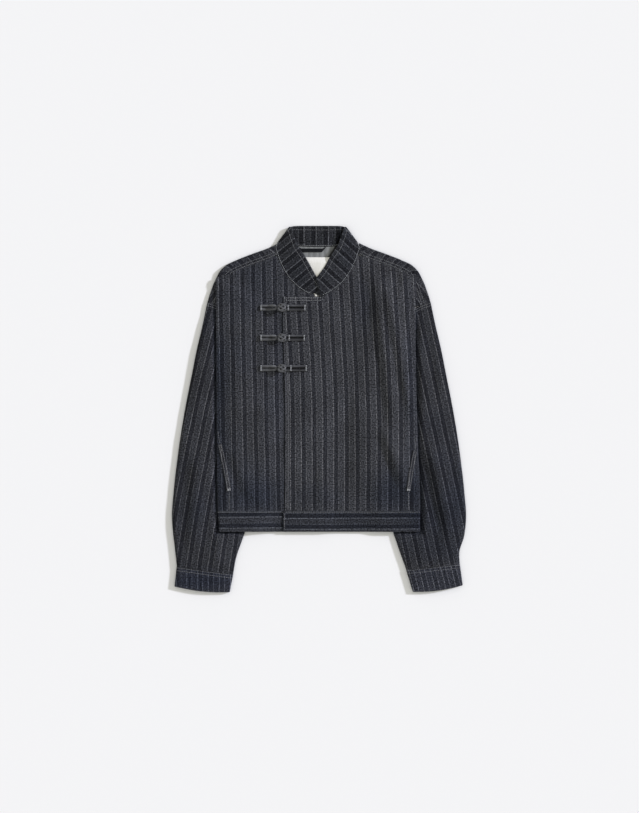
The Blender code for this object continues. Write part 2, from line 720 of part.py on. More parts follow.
def make_frog(name, y):
    """A fastening: doubled cord to a ball knot on the right front, doubled cord with its loop on the flap."""
    cord_up = CLOTH / 2 + SEAM_GAP + CORD_RADIUS * CORD_FLATTEN
    on_flap = front_height(1, KNOT_X + 0.006, y) + cord_up
    knot_up = KNOT_RADIUS * KNOT_FLATTEN
    knot_z = on_flap + CORD_RADIUS * CORD_FLATTEN + SEAM_GAP + knot_up
    stem_in = KNOT_X - KNOT_RADIUS - CORD_RADIUS - 0.0008
    stem_rise = stem_in - 0.016
    bend_from = stem_in - STEM_APART
    strand = [(x, STEM_APART, front_height(-1, x, y) + cord_up)
              for x in np.linspace(STEM_END_X, stem_rise, 4)]
    bend_z = knot_z - 0.0012
    strand += [(mix(stem_rise, bend_from, t), STEM_APART, mix(strand[-1][2], bend_z, ease(t)))
               for t in (0.25, 0.5, 0.75)]
    bend = [(bend_from + STEM_APART * math.sin(a), STEM_APART * math.cos(a), bend_z)
            for a in np.linspace(0, math.pi, 7)]
    path = strand + bend + [(x, -aside, z) for x, aside, z in strand[::-1]]
    make_cord(name + "_stem", [(x, y + aside, z) for x, aside, z in path], CORD_CLOTH)

    side_strand = [(x, LOOP_APART, front_height(1, x, y) + cord_up)
                   for x in np.linspace(LOOP_END_X, KNOT_X + 0.012, 4)]
    bend = [(KNOT_X + LOOP_APART * (1 - math.sin(a)) + 0.002, LOOP_APART * math.cos(a), on_flap)
            for a in np.linspace(0, math.pi, 7)]
    path = side_strand + bend + [(x, -aside, z) for x, aside, z in side_strand[::-1]]
    make_cord(name + "_loop", [(x, y + aside, z) for x, aside, z in path], CORD_CLOTH)

    shape = bmesh.new()
    bmesh.ops.create_uvsphere(shape, u_segments=14, v_segments=9, radius=KNOT_RADIUS)
    for point in shape.verts:
        point.co.z = point.co.z * KNOT_FLATTEN + knot_z
        point.co.x += KNOT_X
        point.co.y += y
    mesh = bpy.data.meshes.new(name + "_knot")
    shape.to_mesh(mesh)
    shape.free()
    mesh.shade_smooth()
    placed(name + "_knot", mesh, CORD_CLOTH)


for old in list(bpy.data.objects):
    bpy.data.objects.remove(old)
jacket = bpy.data.collections.new("pinstripe_jacket")
bpy.context.scene.collection.children.link(jacket)

make_back()
for wearer_side in (-1, 1):
    make_front(wearer_side)
    make_yoke(wearer_side)
    make_sleeve(wearer_side)
    make_cuff(wearer_side)
make_collar()
make_waistband()
for pocket_name, pocket_slit in POCKETS.items():
    make_pocket(pocket_name, pocket_slit)
make_flat("hanger", HANGER, NAVY_CHARCOAL)
make_flat("label", LABEL, OFF_WHITE)
for frog_name, frog_y in FROG_ROWS.items():
    make_frog(frog_name, frog_y)
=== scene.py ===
"""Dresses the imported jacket: fine cloth shells with creases, pinstripes, stitching and knotted cords.

Metres, in the frame of the solids: +X is the wearer's left, +Y runs up to the collar, +Z is up.
"right" and "left" in names are the wearer's. A side is the sign of its x: -1 is right and 1 is left.
"""

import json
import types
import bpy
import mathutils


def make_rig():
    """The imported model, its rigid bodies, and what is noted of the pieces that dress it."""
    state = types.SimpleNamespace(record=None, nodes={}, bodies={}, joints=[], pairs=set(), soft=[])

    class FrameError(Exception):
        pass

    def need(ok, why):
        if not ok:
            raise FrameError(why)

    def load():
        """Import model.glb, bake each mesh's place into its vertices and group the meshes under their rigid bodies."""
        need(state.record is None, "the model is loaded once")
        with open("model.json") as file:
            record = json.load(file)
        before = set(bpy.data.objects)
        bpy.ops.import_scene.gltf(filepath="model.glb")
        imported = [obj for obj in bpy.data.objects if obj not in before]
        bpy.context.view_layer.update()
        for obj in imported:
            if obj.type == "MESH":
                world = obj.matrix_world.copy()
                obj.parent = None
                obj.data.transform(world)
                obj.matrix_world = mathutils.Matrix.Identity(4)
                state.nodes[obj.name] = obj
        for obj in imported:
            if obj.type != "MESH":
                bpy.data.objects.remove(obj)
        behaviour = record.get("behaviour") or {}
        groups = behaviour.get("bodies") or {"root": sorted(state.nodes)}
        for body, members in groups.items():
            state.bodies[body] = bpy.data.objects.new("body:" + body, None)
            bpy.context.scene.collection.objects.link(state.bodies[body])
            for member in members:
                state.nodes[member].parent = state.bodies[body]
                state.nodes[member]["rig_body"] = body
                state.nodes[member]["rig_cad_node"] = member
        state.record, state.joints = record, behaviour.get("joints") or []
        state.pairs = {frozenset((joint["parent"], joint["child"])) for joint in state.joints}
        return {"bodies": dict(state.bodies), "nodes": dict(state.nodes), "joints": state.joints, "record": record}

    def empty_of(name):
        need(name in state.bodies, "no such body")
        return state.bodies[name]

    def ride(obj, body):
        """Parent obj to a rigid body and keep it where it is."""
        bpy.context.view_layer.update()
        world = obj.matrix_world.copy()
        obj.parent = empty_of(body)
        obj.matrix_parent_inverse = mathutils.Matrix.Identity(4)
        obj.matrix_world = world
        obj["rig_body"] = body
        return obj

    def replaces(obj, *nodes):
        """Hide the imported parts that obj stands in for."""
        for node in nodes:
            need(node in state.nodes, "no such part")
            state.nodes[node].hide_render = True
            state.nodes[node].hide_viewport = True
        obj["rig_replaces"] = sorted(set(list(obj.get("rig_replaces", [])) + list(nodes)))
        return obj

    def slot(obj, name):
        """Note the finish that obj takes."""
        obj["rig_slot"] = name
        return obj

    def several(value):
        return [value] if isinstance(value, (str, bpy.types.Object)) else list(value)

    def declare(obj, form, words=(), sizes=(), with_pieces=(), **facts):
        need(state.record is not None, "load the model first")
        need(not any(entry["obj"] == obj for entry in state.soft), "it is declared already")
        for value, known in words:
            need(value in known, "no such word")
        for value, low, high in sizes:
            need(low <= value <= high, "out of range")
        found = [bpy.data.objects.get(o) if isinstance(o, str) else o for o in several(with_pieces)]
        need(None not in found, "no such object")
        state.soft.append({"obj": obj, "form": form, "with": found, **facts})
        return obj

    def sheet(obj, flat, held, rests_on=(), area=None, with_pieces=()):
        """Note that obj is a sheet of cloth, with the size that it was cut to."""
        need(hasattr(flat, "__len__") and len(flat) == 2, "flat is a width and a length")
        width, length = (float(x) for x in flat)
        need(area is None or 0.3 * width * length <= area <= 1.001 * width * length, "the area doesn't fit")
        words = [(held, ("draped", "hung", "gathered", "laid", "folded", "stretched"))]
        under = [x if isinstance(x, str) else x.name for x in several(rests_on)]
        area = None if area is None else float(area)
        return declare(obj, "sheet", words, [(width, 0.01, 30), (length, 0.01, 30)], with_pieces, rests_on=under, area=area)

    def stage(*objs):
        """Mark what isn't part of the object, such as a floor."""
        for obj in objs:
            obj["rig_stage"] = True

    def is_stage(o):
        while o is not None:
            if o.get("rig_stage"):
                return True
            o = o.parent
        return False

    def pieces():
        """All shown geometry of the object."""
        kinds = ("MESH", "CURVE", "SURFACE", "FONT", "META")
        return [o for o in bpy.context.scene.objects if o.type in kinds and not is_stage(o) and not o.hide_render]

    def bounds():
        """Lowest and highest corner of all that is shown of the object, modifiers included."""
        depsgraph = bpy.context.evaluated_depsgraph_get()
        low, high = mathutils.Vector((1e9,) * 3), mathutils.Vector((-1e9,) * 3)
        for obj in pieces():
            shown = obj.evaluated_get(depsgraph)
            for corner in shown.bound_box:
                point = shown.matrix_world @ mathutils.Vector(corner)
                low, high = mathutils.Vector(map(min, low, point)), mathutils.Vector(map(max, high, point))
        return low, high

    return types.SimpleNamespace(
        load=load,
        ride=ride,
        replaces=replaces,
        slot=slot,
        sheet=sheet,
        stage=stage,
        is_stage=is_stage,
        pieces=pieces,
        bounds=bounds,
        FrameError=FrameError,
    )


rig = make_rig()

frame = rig.load()
cad_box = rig.bounds()

from collections import namedtuple
import json
import math

import bpy
from mathutils import kdtree
import numpy as np

Side = namedtuple("Side", "y right left")
Lifted = namedtuple("Lifted", "y from_x")
Point = namedtuple("Point", "x y")
Ring = namedtuple("Ring", "out_x out_y in_x in_y bow", defaults=[0.0])
Fold = namedtuple("Fold", "x0 y0 x1 y1 width height")
Slit = namedtuple("Slit", "side x0 y0 x1 y1")
Flat = namedtuple("Flat", "right left low high wall")
Inset = namedtuple("Inset", "x slope")
Wave = namedtuple("Wave", "across along start")
Section = namedtuple("Section", "share high thick")
Tones = namedtuple("Tones", "line dark faint ground")
Stripes = namedtuple("Stripes", "drift bend line")
Lean = namedtuple("Lean", "degrees line repeat")
Frog = namedtuple("Frog", "y inner_bar_x outer_bar_x")
Fade = namedtuple("Fade", "x y reach_x reach_y amount")
Panel = namedtuple("Panel", "points normals wall")

WORD = {-1: "right", 1: "left"}

# Cloth
CLOTH = 0.0012              # one layer
DOUBLED = 0.0020            # collar, cuffs and waistband, two layers pressed
SEAM_GAP = 0.0004           # between pieces that are sewn to each other
STRIPE_REPEAT = 0.0207
LINE_MIDDLE = 0.0007        # from a repeat's start to the middle of its light line
ALONG_START = 0.5           # keeps places along the stripes above 0
RUB_REACH = 0.0022          # how far in from its edges cloth is rubbed

# Levels of the middle of each wall over the floor
BACK_LEVEL = CLOTH / 2
FRONT_LEVEL = 0.0038
LIFT = 0.0048               # how far a sleeve under the body lifts it
LIFT_RAMP = 0.045
TIP_LIFT = 0.0026           # the fronts fold over the yoke at the shoulder tip
TIP_FROM_X, TIP_RAMP_X = 0.150, 0.012
TIP_TOP_Y, TIP_RAMP_Y = 0.2690, 0.006
FLAP_STEP = 0.0016          # the left front lies on the right one
BAND_STEP = 0.0024          # the same for the doubled waistband and collar ends
STEP_RAMP = 0.025
EDGE_DROP = {-1: 0.0016, 1: 0.0010}     # how much lower the fronts are at their turned edges
EDGE_DROP_WIDTH, EDGE_DROP_RAMP = 0.012, 0.030
UNEVEN = 0.00035            # height of the waviness of handled cloth
BAND_PUCKER = 0.00028       # height of the ripples at the waistband's seam

# How bright the cloth is, and the painted shade that is set into its colour
FRONT_SHADE = {-1: 0.89, 1: 1.04}
PAINTED_EDGE_SHADE = {-1: 0.36, 1: 0.06}        # painted shade along a front's turned edge, where it rolls away from the light; the cloth there is also darker and bluer from unfaded dye
EDGE_SHADE_WIDTH = 0.016
EDGE_SHADE_TOP_Y, EDGE_SHADE_RAMP = 0.170, 0.09
PAINTED_GROOVE_SHADE = {-1: 0.62, 1: 0.35}      # painted shade in the groove on a sleeve where it comes out from under the body
COLLAR_SHADE = 0.92
PAINTED_COLLAR_GAP_SHADE = 0.95     # painted shade under the free edge of the collar's left front
COLLAR_GAP_WIDTH, COLLAR_GAP_AWAY = 0.0036, 0.0024
COLLAR_GAP_LOW_Y, COLLAR_GAP_RAMP = 0.262, 0.02
FLAP_RUBBED = 0.35          # how much brighter the flap is at its rubbed edge
FLAP_RUBBED_WIDTH = 0.0022
PAINTED_FLAP_SHADE = 0.86           # painted shadow on the cloth under the flap, beside that edge
FLAP_SHADE_AWAY, FLAP_SHADE_WIDTH = 0.0008, 0.0014
# where the same painted shadow lies on the waistband's end under the flap
BAND_SHADE_AWAY, BAND_SHADE_WIDTH = 0.0010, 0.0018

# Body
HEM_Y = -0.2345
BAND_TOP_Y = -0.1960
BAND_LINE = 0.2316          # phase of the waistband's stripes
BAND_DRIFT = 0.0034         # how far they move up along the whole band
BAND_END_X = -0.0678
UNDERLAP_X = 0.0050
FLAP_TOP_Y = 0.2150
FLAP_SPLIT_X = 0.0062
GAP_X = -0.0088             # the right front leaves a small gap below the collar's end from here
GAP_LOW_Y, GAP_RAMP, GAP_TOP_Y = 0.2070, 0.0065, 0.2195
NECK_GAP = 0.0009
NECK_X = -0.0026
NECKLINE_END = {-1: 0.85, 1: 1}         # share of the collar's seam that a front follows
ROLL = 0.0012               # radius of the fronts' turned side edges
ROLL_BEND = 0.75            # share of the turned cloth that bends
ROLL_RAMP = 0.035
TIP_Y = 0.2620
FOLD_Y = 0.2500
FRONT_TOP_Y = 0.2926
FLAP_FINE_Y = 0.2060        # rows are closer from here to the flap's top
BACK_INSET = 0.0006
BACK_LINE = 0.004           # phase of the stripes of the back and the yokes

# Stripes of the fronts lean a little, on the flap only in its upper part
FLAP_LEAN, FLAP_LEAN_Y, FLAP_LEAN_RAMP, FLAP_LINE = 0.0594, 0.030, 0.030, 0.0140
RIGHT_LEAN, RIGHT_LEAN_Y, RIGHT_LINE = 0.018, -0.050, -0.0184

# Yoke
YOKE_WIDTH = 0.019
YOKE_END_WIDTH = {-1: 0.024, 1: 0.034}
YOKE_UNDER = 0.022
YOKE_END_UNDER = 0.034
YOKE_TURN = (FRONT_LEVEL - BACK_LEVEL) / 2
YOKE_GAP = 0.0005           # between its end and the collar
YOKE_TOP_GAP = 0.0010       # how much wider that is at the shoulder
YOKE_TOP_GAP_Y, YOKE_TOP_GAP_RAMP = 0.3105, 0.0068
YOKE_PUFF = 0.0020          # how much its fold stands up at the shoulder's corner
YOKE_PUFF_Y, YOKE_PUFF_LONG, YOKE_PUFF_WIDE = 0.267, 0.009, 0.011
YOKE_PUCKER, YOKE_PUCKER_REACH, YOKE_LENGTH = 0.00022, 0.009, 0.2

# Sleeves and cuffs
SLEEVE_EDGE = 0.0044
SLEEVE_CROWN = 0.0045
SLEEVE_LEAST = 0.0006       # how low the crown may get in a trough
SLEEVE_UNEVEN = 0.0004
SLEEVE_ROUND = {-1: 0.29, 1: 0.5}       # power of its rise from the outer fold: the smaller, the rounder
SLEEVE_START = 0.10         # share of the sleeve, from its armhole, over which it rises
SLEEVE_FREE_FROM, SLEEVE_FREE_RAMP = 0.0005, 0.011
SLEEVE_LENGTH = 0.52
SLEEVE_PUCKER, SLEEVE_PUCKER_REACH = 0.00035, 0.012
GROOVE_DEPTH, GROOVE_AWAY, GROOVE_WIDTH = 0.0012, 0.0012, 0.0036
CUFF_EDGE = 0.0060
CUFF_CROWN = 0.0012
CUFF_PUFF = 0.0006
CUFF_BOW = 0.004
CUFF_DEPTH = 0.037
CUFF_PUCKER, CUFF_PUCKER_REACH = 0.00022, 0.006

# Collar
COLLAR_BACK_LEVEL = DOUBLED / 2
COLLAR_STAND = 0.0036       # how far its free edge stands up at the shoulder folds
COLLAR_END_STAND = 0.0020   # the same at its front ends
COLLAR_FOLD_SEAM = Point(0.0760, 0.3173)
COLLAR_FOLD_EDGE = Point(0.0519, 0.3484)
COLLAR_SEAM_DIP = 0.0053
COLLAR_EDGE_RISE = 0.0021
COLLAR_FAN = 0.68
COLLAR_LAP = Point(0.046, 0.30)         # its left end is on top inside this x, below this y
COLLAR_LAP_RAMP = Point(0.032, 0.05)
COLLAR_PUFF = 0.0007
COLLAR_PUCKER, COLLAR_PUCKER_REACH, COLLAR_DEPTH = 0.00018, 0.008, 0.035
COLLAR_BACK_LINE = -0.0050  # where its back has a light line
COLLAR_BACK_REPEAT = 0.0232  # its stripes fan out there

# Stripes of the collar's front parts, and how many repeats they are from the middle of its back
COLLAR_STRIPES = {-1: Lean(39, 0.2443, 0.0198), 1: Lean(42, 0.2265, 0.0213)}
COLLAR_REPEATS = 6

# Waistband
BAND_PUFF = 0.0004
BAND_RIPPLE = 0.00022
BAND_LAP = 0.0035           # how far past the right end the left end is at its full height

# Frog fastenings
CORD_RADIUS = 0.0026
CORD_FLATTEN = 0.65
STEM_END_X = -0.1120
STEM_RISE = 0.016           # a stem rises to its knot over this length
KNOT_X = -0.0710
KNOT_RADIUS = 0.0080
KNOT_STRAND = 0.0016
KNOT_STRETCH = 1.2
KNOT_FLATTEN = 0.60
KNOT_GAP = 0.0008
KNOT_OVER_STEM = 0.0012     # how much higher a knot's middle is than the stem's bend
LOOP_PAST_KNOT = 0.002
LOOP_PAST_BAR = 0.0024
STEM_APART = 0.0030         # from the middle to each strand
LOOP_APART = 0.0030
BAR_PAST_END = 0.0012
BAR_ROWS = (-0.0009, -0.0003, 0.0003, 0.0009)
BAR_REACH = 1.15            # how far past the cords a bar goes, in cord radii

# Small pieces
HANGER = Flat(-0.0400, 0.0135, 0.3012, 0.3108, 0.0010)
HANGER_CUT, HANGER_SLACK, SLACK_RAMP = 0.008, 0.0030, 0.007
LABEL = Flat(-0.0290, 0.0240, 0.2095, 0.2912, 0.0008)
LEAST_FLAT = 0.0105         # the narrowest flat size that is stated
ON_BACK = CLOTH + 0.0003    # underside of what lies on the inside of the back
FLAT_UNEVEN = 0.0001
POCKET_HALF_WIDTH = 0.0035
POCKET_CLOTH = 0.0010
POCKET_CURVE = 0.0028       # how far a pocket mouth curves out at its upper end
POCKET_RUN_OUT = 0.026      # how far the stitching goes on above a pocket mouth, to the side edge
POCKET_RUN_OUT_INSET = 0.0028

# The label stands up in the V of the collar, and in the gap under its end
V_TOP_Y, V_LOW_Y = 0.2925, 0.232
V_RIGHT, V_LEFT = Inset(-0.0278, 0.556), Inset(0.0226, -0.656)
V_LEAST_WIDE = 0.004
V_STAND = 0.0022
V_LEFT_STAND_Y, V_LEFT_STAND_RAMP = 0.244, 0.012
GAP_SPOT, GAP_SPOT_WIDE, GAP_SPOT_LONG = Point(-0.0060, 0.2175), 0.0022, 0.0021
GAP_STAND = 0.0038

# Sewing, and rows of stitching by their distance from an edge
STITCH_PITCH = 0.0034
STITCH_LENGTH = 0.0027
THREAD_RADIUS = 0.00034
THREAD_FLATTEN = 0.8
STITCH = (
    Section(0.0, -0.6, 0.55), Section(0.22, 0.35, 0.95), Section(0.5, 0.55, 1.0),
    Section(0.78, 0.35, 0.95), Section(1.0, -0.6, 0.55),
)
YOKE_ROWS = (0.0125, 0.0175)
SLEEVE_ROWS = (0.0018, 0.0062)
CUFF_ROWS = (0.0018, 0.0072)
COLLAR_EDGE_ROW, COLLAR_SEAM_ROW = 0.0070, 0.0016
BAND_ROW, BAND_END_ROW = 0.0018, 0.0016
FLAP_ROW, FLAP_TOP_ROWS = 0.0054, (0.0018, 0.0066)

# Flat sizes of the cut, width by length, all round on a tube
FLAT = {
    "back": (0.392, 0.510), "front_right": (0.212, 0.492), "front_left": (0.272, 0.492),
    "yoke_right": (0.054, 0.196), "yoke_left": (0.054, 0.196),
    "sleeve_right": (0.420, 0.520), "sleeve_left": (0.420, 0.520),
    "cuff_right": (0.228, 0.040), "cuff_left": (0.228, 0.040),
    "collar": (0.048, 0.520), "waistband": (0.0385, 0.860),
    "pocket_right": (0.014, 0.0900), "pocket_left": (0.014, 0.0900),
}

# Picture: the photograph's frame at the garment, seen straight down
FRAME_HEIGHT = 1.561
FRAME_CENTRE = (0.0010, 0.0048)
CAMERA_UP = 4.4
SENSOR = 36.0
FLOOR_HALF, FLOOR_Z = 6, -0.0006

SIDES = (
    Side(-0.2345, 0.1915, 0.1935), Side(-0.1960, 0.1943, 0.1939), Side(-0.1555, 0.1953, 0.1935),
    Side(-0.0787, 0.1962, 0.1900), Side(0.0173, 0.1968, 0.1872), Side(0.1133, 0.1972, 0.1853),
    Side(0.1997, 0.1974, 0.1850), Side(0.2515, 0.1966, 0.1853), Side(0.2700, 0.1930, 0.1840),
)
LIFTED = (
    Lifted(-0.2345, 0.1290), Lifted(-0.1000, 0.1070), Lifted(0.0300, 0.0980), Lifted(0.1000, 0.1060),
    Lifted(0.1600, 0.1200), Lifted(0.2050, 0.1430), Lifted(0.2320, 0.1760), Lifted(0.2500, 0.2150),
    Lifted(0.2650, 0.2500), Lifted(0.3200, 0.4000),
)
SHOULDER = (
    Point(0.0778, 0.3180), Point(0.0975, 0.3088), Point(0.1285, 0.2975), Point(0.1575, 0.2860),
    Point(0.1800, 0.2745), Point(0.1910, 0.2630), Point(0.1970, 0.2515), Point(0.2025, 0.2400),
    Point(0.2065, 0.2285), Point(0.2105, 0.2170), Point(0.2140, 0.2050),
)
BACK_EDGE = (
    Side(0.1830, 0.1950, 0.1828), Side(0.1960, 0.1790, 0.1760), Side(0.2130, 0.1770, 0.1740),
    Side(0.2300, 0.1750, 0.1730), Side(0.2400, 0.1730, 0.1720), Side(0.2490, 0.1700, 0.1700),
    Side(0.2560, 0.1640, 0.1640), Side(0.2650, 0.1465, 0.1465), Side(0.2750, 0.1190, 0.1190),
    Side(0.2860, 0.0880, 0.0880), Side(0.2930, 0.0735, 0.0720),
)
FLAP_EDGE = (
    Point(-0.0648, BAND_TOP_Y), Point(-0.0648, 0.03), Point(-0.0670, 0.104), Point(-0.0686, 0.163),
    Point(-0.0674, FLAP_TOP_Y),
)
NECK_SEAM = (
    COLLAR_FOLD_SEAM, Point(0.0805, 0.3105), Point(0.0772, 0.2965), Point(0.0700, 0.2770),
    Point(0.0590, 0.2575), Point(0.0472, 0.2427), Point(0.0302, 0.2290),
)
SEAM_END = {
    -1: (Point(0.0120, 0.2210), Point(0.0040, 0.2226), Point(-0.0012, 0.2183), Point(-0.0086, 0.2158)),
    1: (Point(0.0105, 0.2180), Point(0.0050, 0.2164)),
}
COLLAR_EDGE = (
    COLLAR_FOLD_EDGE, Point(0.0465, 0.3327), Point(0.0390, 0.3135), Point(0.0252, 0.2925),
    Point(0.0126, 0.2702),
)
EDGE_END = {-1: (Point(0.0020, 0.2508), Point(-0.0035, 0.2414)), 1: (Point(-0.0024, 0.2504),)}
SLEEVE = (
    Ring(0.2140, 0.2046, 0.1120, 0.0300, 0.82),
    Ring(0.2235, 0.1600, 0.1130, -0.0100, 0.60),
    Ring(0.2345, 0.1133, 0.1160, -0.0500, 0.35),
    Ring(0.2450, 0.0600, 0.1195, -0.0870, 0.15),
    Ring(0.2550, 0.0100, 0.1235, -0.1200),
    Ring(0.2705, -0.0864, 0.1330, -0.1880),
    Ring(0.2790, -0.1600, 0.1410, -0.2320),
    Ring(0.2822, -0.2080, 0.1490, -0.2560),
)
SLEEVE_END = {
    -1: (
        Ring(0.2800, -0.2380, 0.1550, -0.2725),
        Ring(0.2765, -0.2680, 0.1600, -0.2900),
        Ring(0.2727, -0.3020, 0.1648, -0.3168),
    ),
    1: (
        Ring(0.2785, -0.2440, 0.1545, -0.2725),
        Ring(0.2695, -0.2740, 0.1605, -0.2890),
        Ring(0.2700, -0.2970, 0.1675, -0.3082),
    ),
}
CUFF = {
    -1: (Ring(0.2730, -0.3025, 0.1646, -0.3173), Ring(0.2772, -0.3395, 0.1710, -0.3505)),
    1: (Ring(0.2702, -0.2975, 0.1672, -0.3087), Ring(0.2757, -0.3372, 0.1797, -0.3498)),
}
FROGS = {
    "frog_top": Frog(0.1943, -0.0589, -0.0269),
    "frog_middle": Frog(0.1365, -0.0570, -0.0282),
    "frog_low": Frog(0.0781, -0.0538, -0.0244),
}
POCKETS = {
    "pocket_right": Slit(-1, -0.1868, -0.068, -0.1722, -0.1565),
    "pocket_left": Slit(1, 0.1815, -0.080, 0.1715, -0.1565),
}

# Stripes of tubes: their drift outwards on the way down, how that bends, and where a light line is
SLEEVE_STRIPES = {-1: Stripes(0.220, 0.121, 0.2197), 1: Stripes(0.215, 0.0, 0.2075)}
CUFF_STRIPES = {-1: Stripes(0.0, 0.0, 0.2534), 1: Stripes(0.250, 0.0, 0.1154)}

# Soft ridges and troughs, from one end to the other, as the photograph shows them
FRONT_FOLDS = {
    -1: (
        Fold(-0.158, 0.205, -0.150, -0.120, 0.020, 0.0032),
        Fold(-0.100, 0.050, -0.118, -0.170, 0.018, 0.0022),
        Fold(-0.188, -0.080, -0.148, -0.175, 0.007, -0.0016),
        Fold(-0.172, -0.060, -0.130, -0.178, 0.010, 0.0028),
        Fold(-0.096, -0.110, -0.096, -0.200, 0.008, -0.0012),
        Fold(-0.080, -0.115, -0.080, -0.200, 0.007, 0.0008),
        Fold(-0.128, 0.230, -0.122, 0.060, 0.010, -0.0008),
        Fold(-0.178, 0.190, -0.172, 0.020, 0.007, -0.0008),
        Fold(-0.140, -0.130, -0.142, -0.200, 0.007, -0.0008),
        Fold(-0.110, 0.190, -0.090, 0.100, 0.012, 0.0007),
    ),
    1: (
        Fold(0.104, 0.300, 0.146, -0.070, 0.012, 0.0070),
        Fold(0.092, 0.290, 0.132, -0.040, 0.008, -0.0014),
        Fold(0.124, 0.270, 0.184, -0.045, 0.011, 0.0068),
        Fold(0.112, 0.245, 0.164, -0.010, 0.007, -0.0014),
        Fold(0.150, 0.245, 0.172, 0.150, 0.007, 0.0020),
        Fold(0.050, 0.040, 0.048, -0.175, 0.010, -0.0012),
        Fold(0.072, 0.050, 0.070, -0.180, 0.012, 0.0022),
        Fold(0.104, -0.040, 0.152, -0.155, 0.007, -0.0016),
        Fold(0.120, -0.020, 0.170, -0.165, 0.013, 0.0060),
        Fold(-0.050, 0.110, -0.040, -0.130, 0.040, 0.0012),
        Fold(0.030, 0.222, 0.026, 0.120, 0.009, 0.0012),
        Fold(0.010, 0.205, 0.008, 0.110, 0.008, -0.0008),
        Fold(-0.018, -0.090, -0.016, -0.200, 0.009, -0.0010),
        Fold(0.004, -0.090, 0.003, -0.200, 0.008, 0.0010),
        Fold(0.100, 0.150, 0.170, 0.030, 0.007, 0.0008),
        Fold(0.020, 0.020, 0.090, -0.070, 0.012, 0.0006),
        Fold(-0.050, 0.040, -0.020, -0.090, 0.012, 0.0007),
        Fold(0.096, -0.120, 0.090, -0.200, 0.007, -0.0009),
        Fold(0.118, -0.140, 0.114, -0.200, 0.006, 0.0008),
        Fold(0.142, -0.155, 0.140, -0.200, 0.006, -0.0008),
    ),
}
SLEEVE_FOLDS = {
    -1: (
        Fold(-0.222, 0.150, -0.240, -0.040, 0.010, 0.0014),
        Fold(-0.235, -0.080, -0.246, -0.285, 0.011, 0.0042),
        Fold(-0.256, -0.070, -0.264, -0.240, 0.008, -0.0022),
        Fold(-0.272, -0.190, -0.257, -0.290, 0.006, -0.0010),
        Fold(-0.190, -0.240, -0.196, -0.310, 0.010, 0.0020),
        Fold(-0.212, -0.150, -0.222, -0.300, 0.007, -0.0008),
        Fold(-0.206, 0.120, -0.222, -0.020, 0.006, -0.0008),
        Fold(-0.246, 0.020, -0.256, -0.110, 0.006, 0.0008),
        Fold(-0.175, -0.262, -0.240, -0.285, 0.006, 0.0008),
    ),
    1: (
        Fold(0.218, 0.170, 0.242, 0.000, 0.009, 0.0030),
        Fold(0.207, 0.165, 0.230, 0.010, 0.007, -0.0018),
        Fold(0.207, -0.045, 0.262, -0.285, 0.013, 0.0063),
        Fold(0.192, -0.075, 0.240, -0.270, 0.010, -0.0030),
        Fold(0.264, -0.030, 0.272, -0.170, 0.007, 0.0013),
        Fold(0.252, -0.030, 0.260, -0.150, 0.006, -0.0008),
        Fold(0.188, -0.240, 0.200, -0.300, 0.010, 0.0020),
        Fold(0.216, -0.245, 0.226, -0.305, 0.006, -0.0008),
        Fold(0.204, 0.130, 0.222, 0.000, 0.006, -0.0008),
        Fold(0.250, -0.215, 0.262, -0.290, 0.007, -0.0010),
        Fold(0.185, -0.270, 0.250, -0.262, 0.006, 0.0008),
    ),
}
GENTLE_SIDE = 1.8           # how much wider a fold is on its side to the wearer's left
FOLD_END = 0.25             # share of a fold over which it fades at each end
FOLDS_IN = 0.018            # folds of a front fade over this length from its side edge
FOLDS_LOW_Y, FOLDS_LOW_RAMP = -0.194, 0.022
FOLDS_TOP_Y, FOLDS_TOP_RAMP = 0.264, 0.030

# A slight waviness, in radians a metre
WAVES = (
    Wave(74, 31, 0.3), Wave(-52, 83, 1.9), Wave(118, -64, 4.1),
    Wave(23, 141, 2.7), Wave(163, 97, 0.9), Wave(-141, 58, 5.2),
)

# Soft patches where the cloth is lighter, or darker and bluer; the long one at x 0.174 is painted shade on the lit
# side of a ridge of the flap
TONE_AND_SHADE_PATCHES = (
    Fade(0.092, 0.200, 0.030, 0.050, -0.24),
    Fade(0.147, -0.161, 0.048, 0.045, -0.40),
    Fade(0.186, -0.160, 0.011, 0.060, -0.30),
    Fade(0.266, -0.160, 0.016, 0.090, -0.20),
    Fade(0.214, -0.270, 0.050, 0.030, -0.15),
    Fade(0.228, -0.060, 0.030, 0.060, -0.12),
    Fade(0.021, -0.170, 0.060, 0.030, -0.16),
    # painted shade on the lit side of the ridge beside it
    Fade(0.174, 0.060, 0.018, 0.170, -0.14),
    Fade(-0.123, -0.167, 0.050, 0.036, -0.26),
    Fade(-0.127, 0.000, 0.040, 0.080, 0.10),
    Fade(-0.150, 0.285, 0.050, 0.030, -0.10),
    Fade(-0.242, -0.203, 0.040, 0.060, -0.15),
    Fade(0.232, -0.203, 0.040, 0.060, -0.28),
    Fade(-0.221, -0.328, 0.070, 0.022, -0.34),
    Fade(-0.131, -0.215, 0.070, 0.016, 0.16),
)

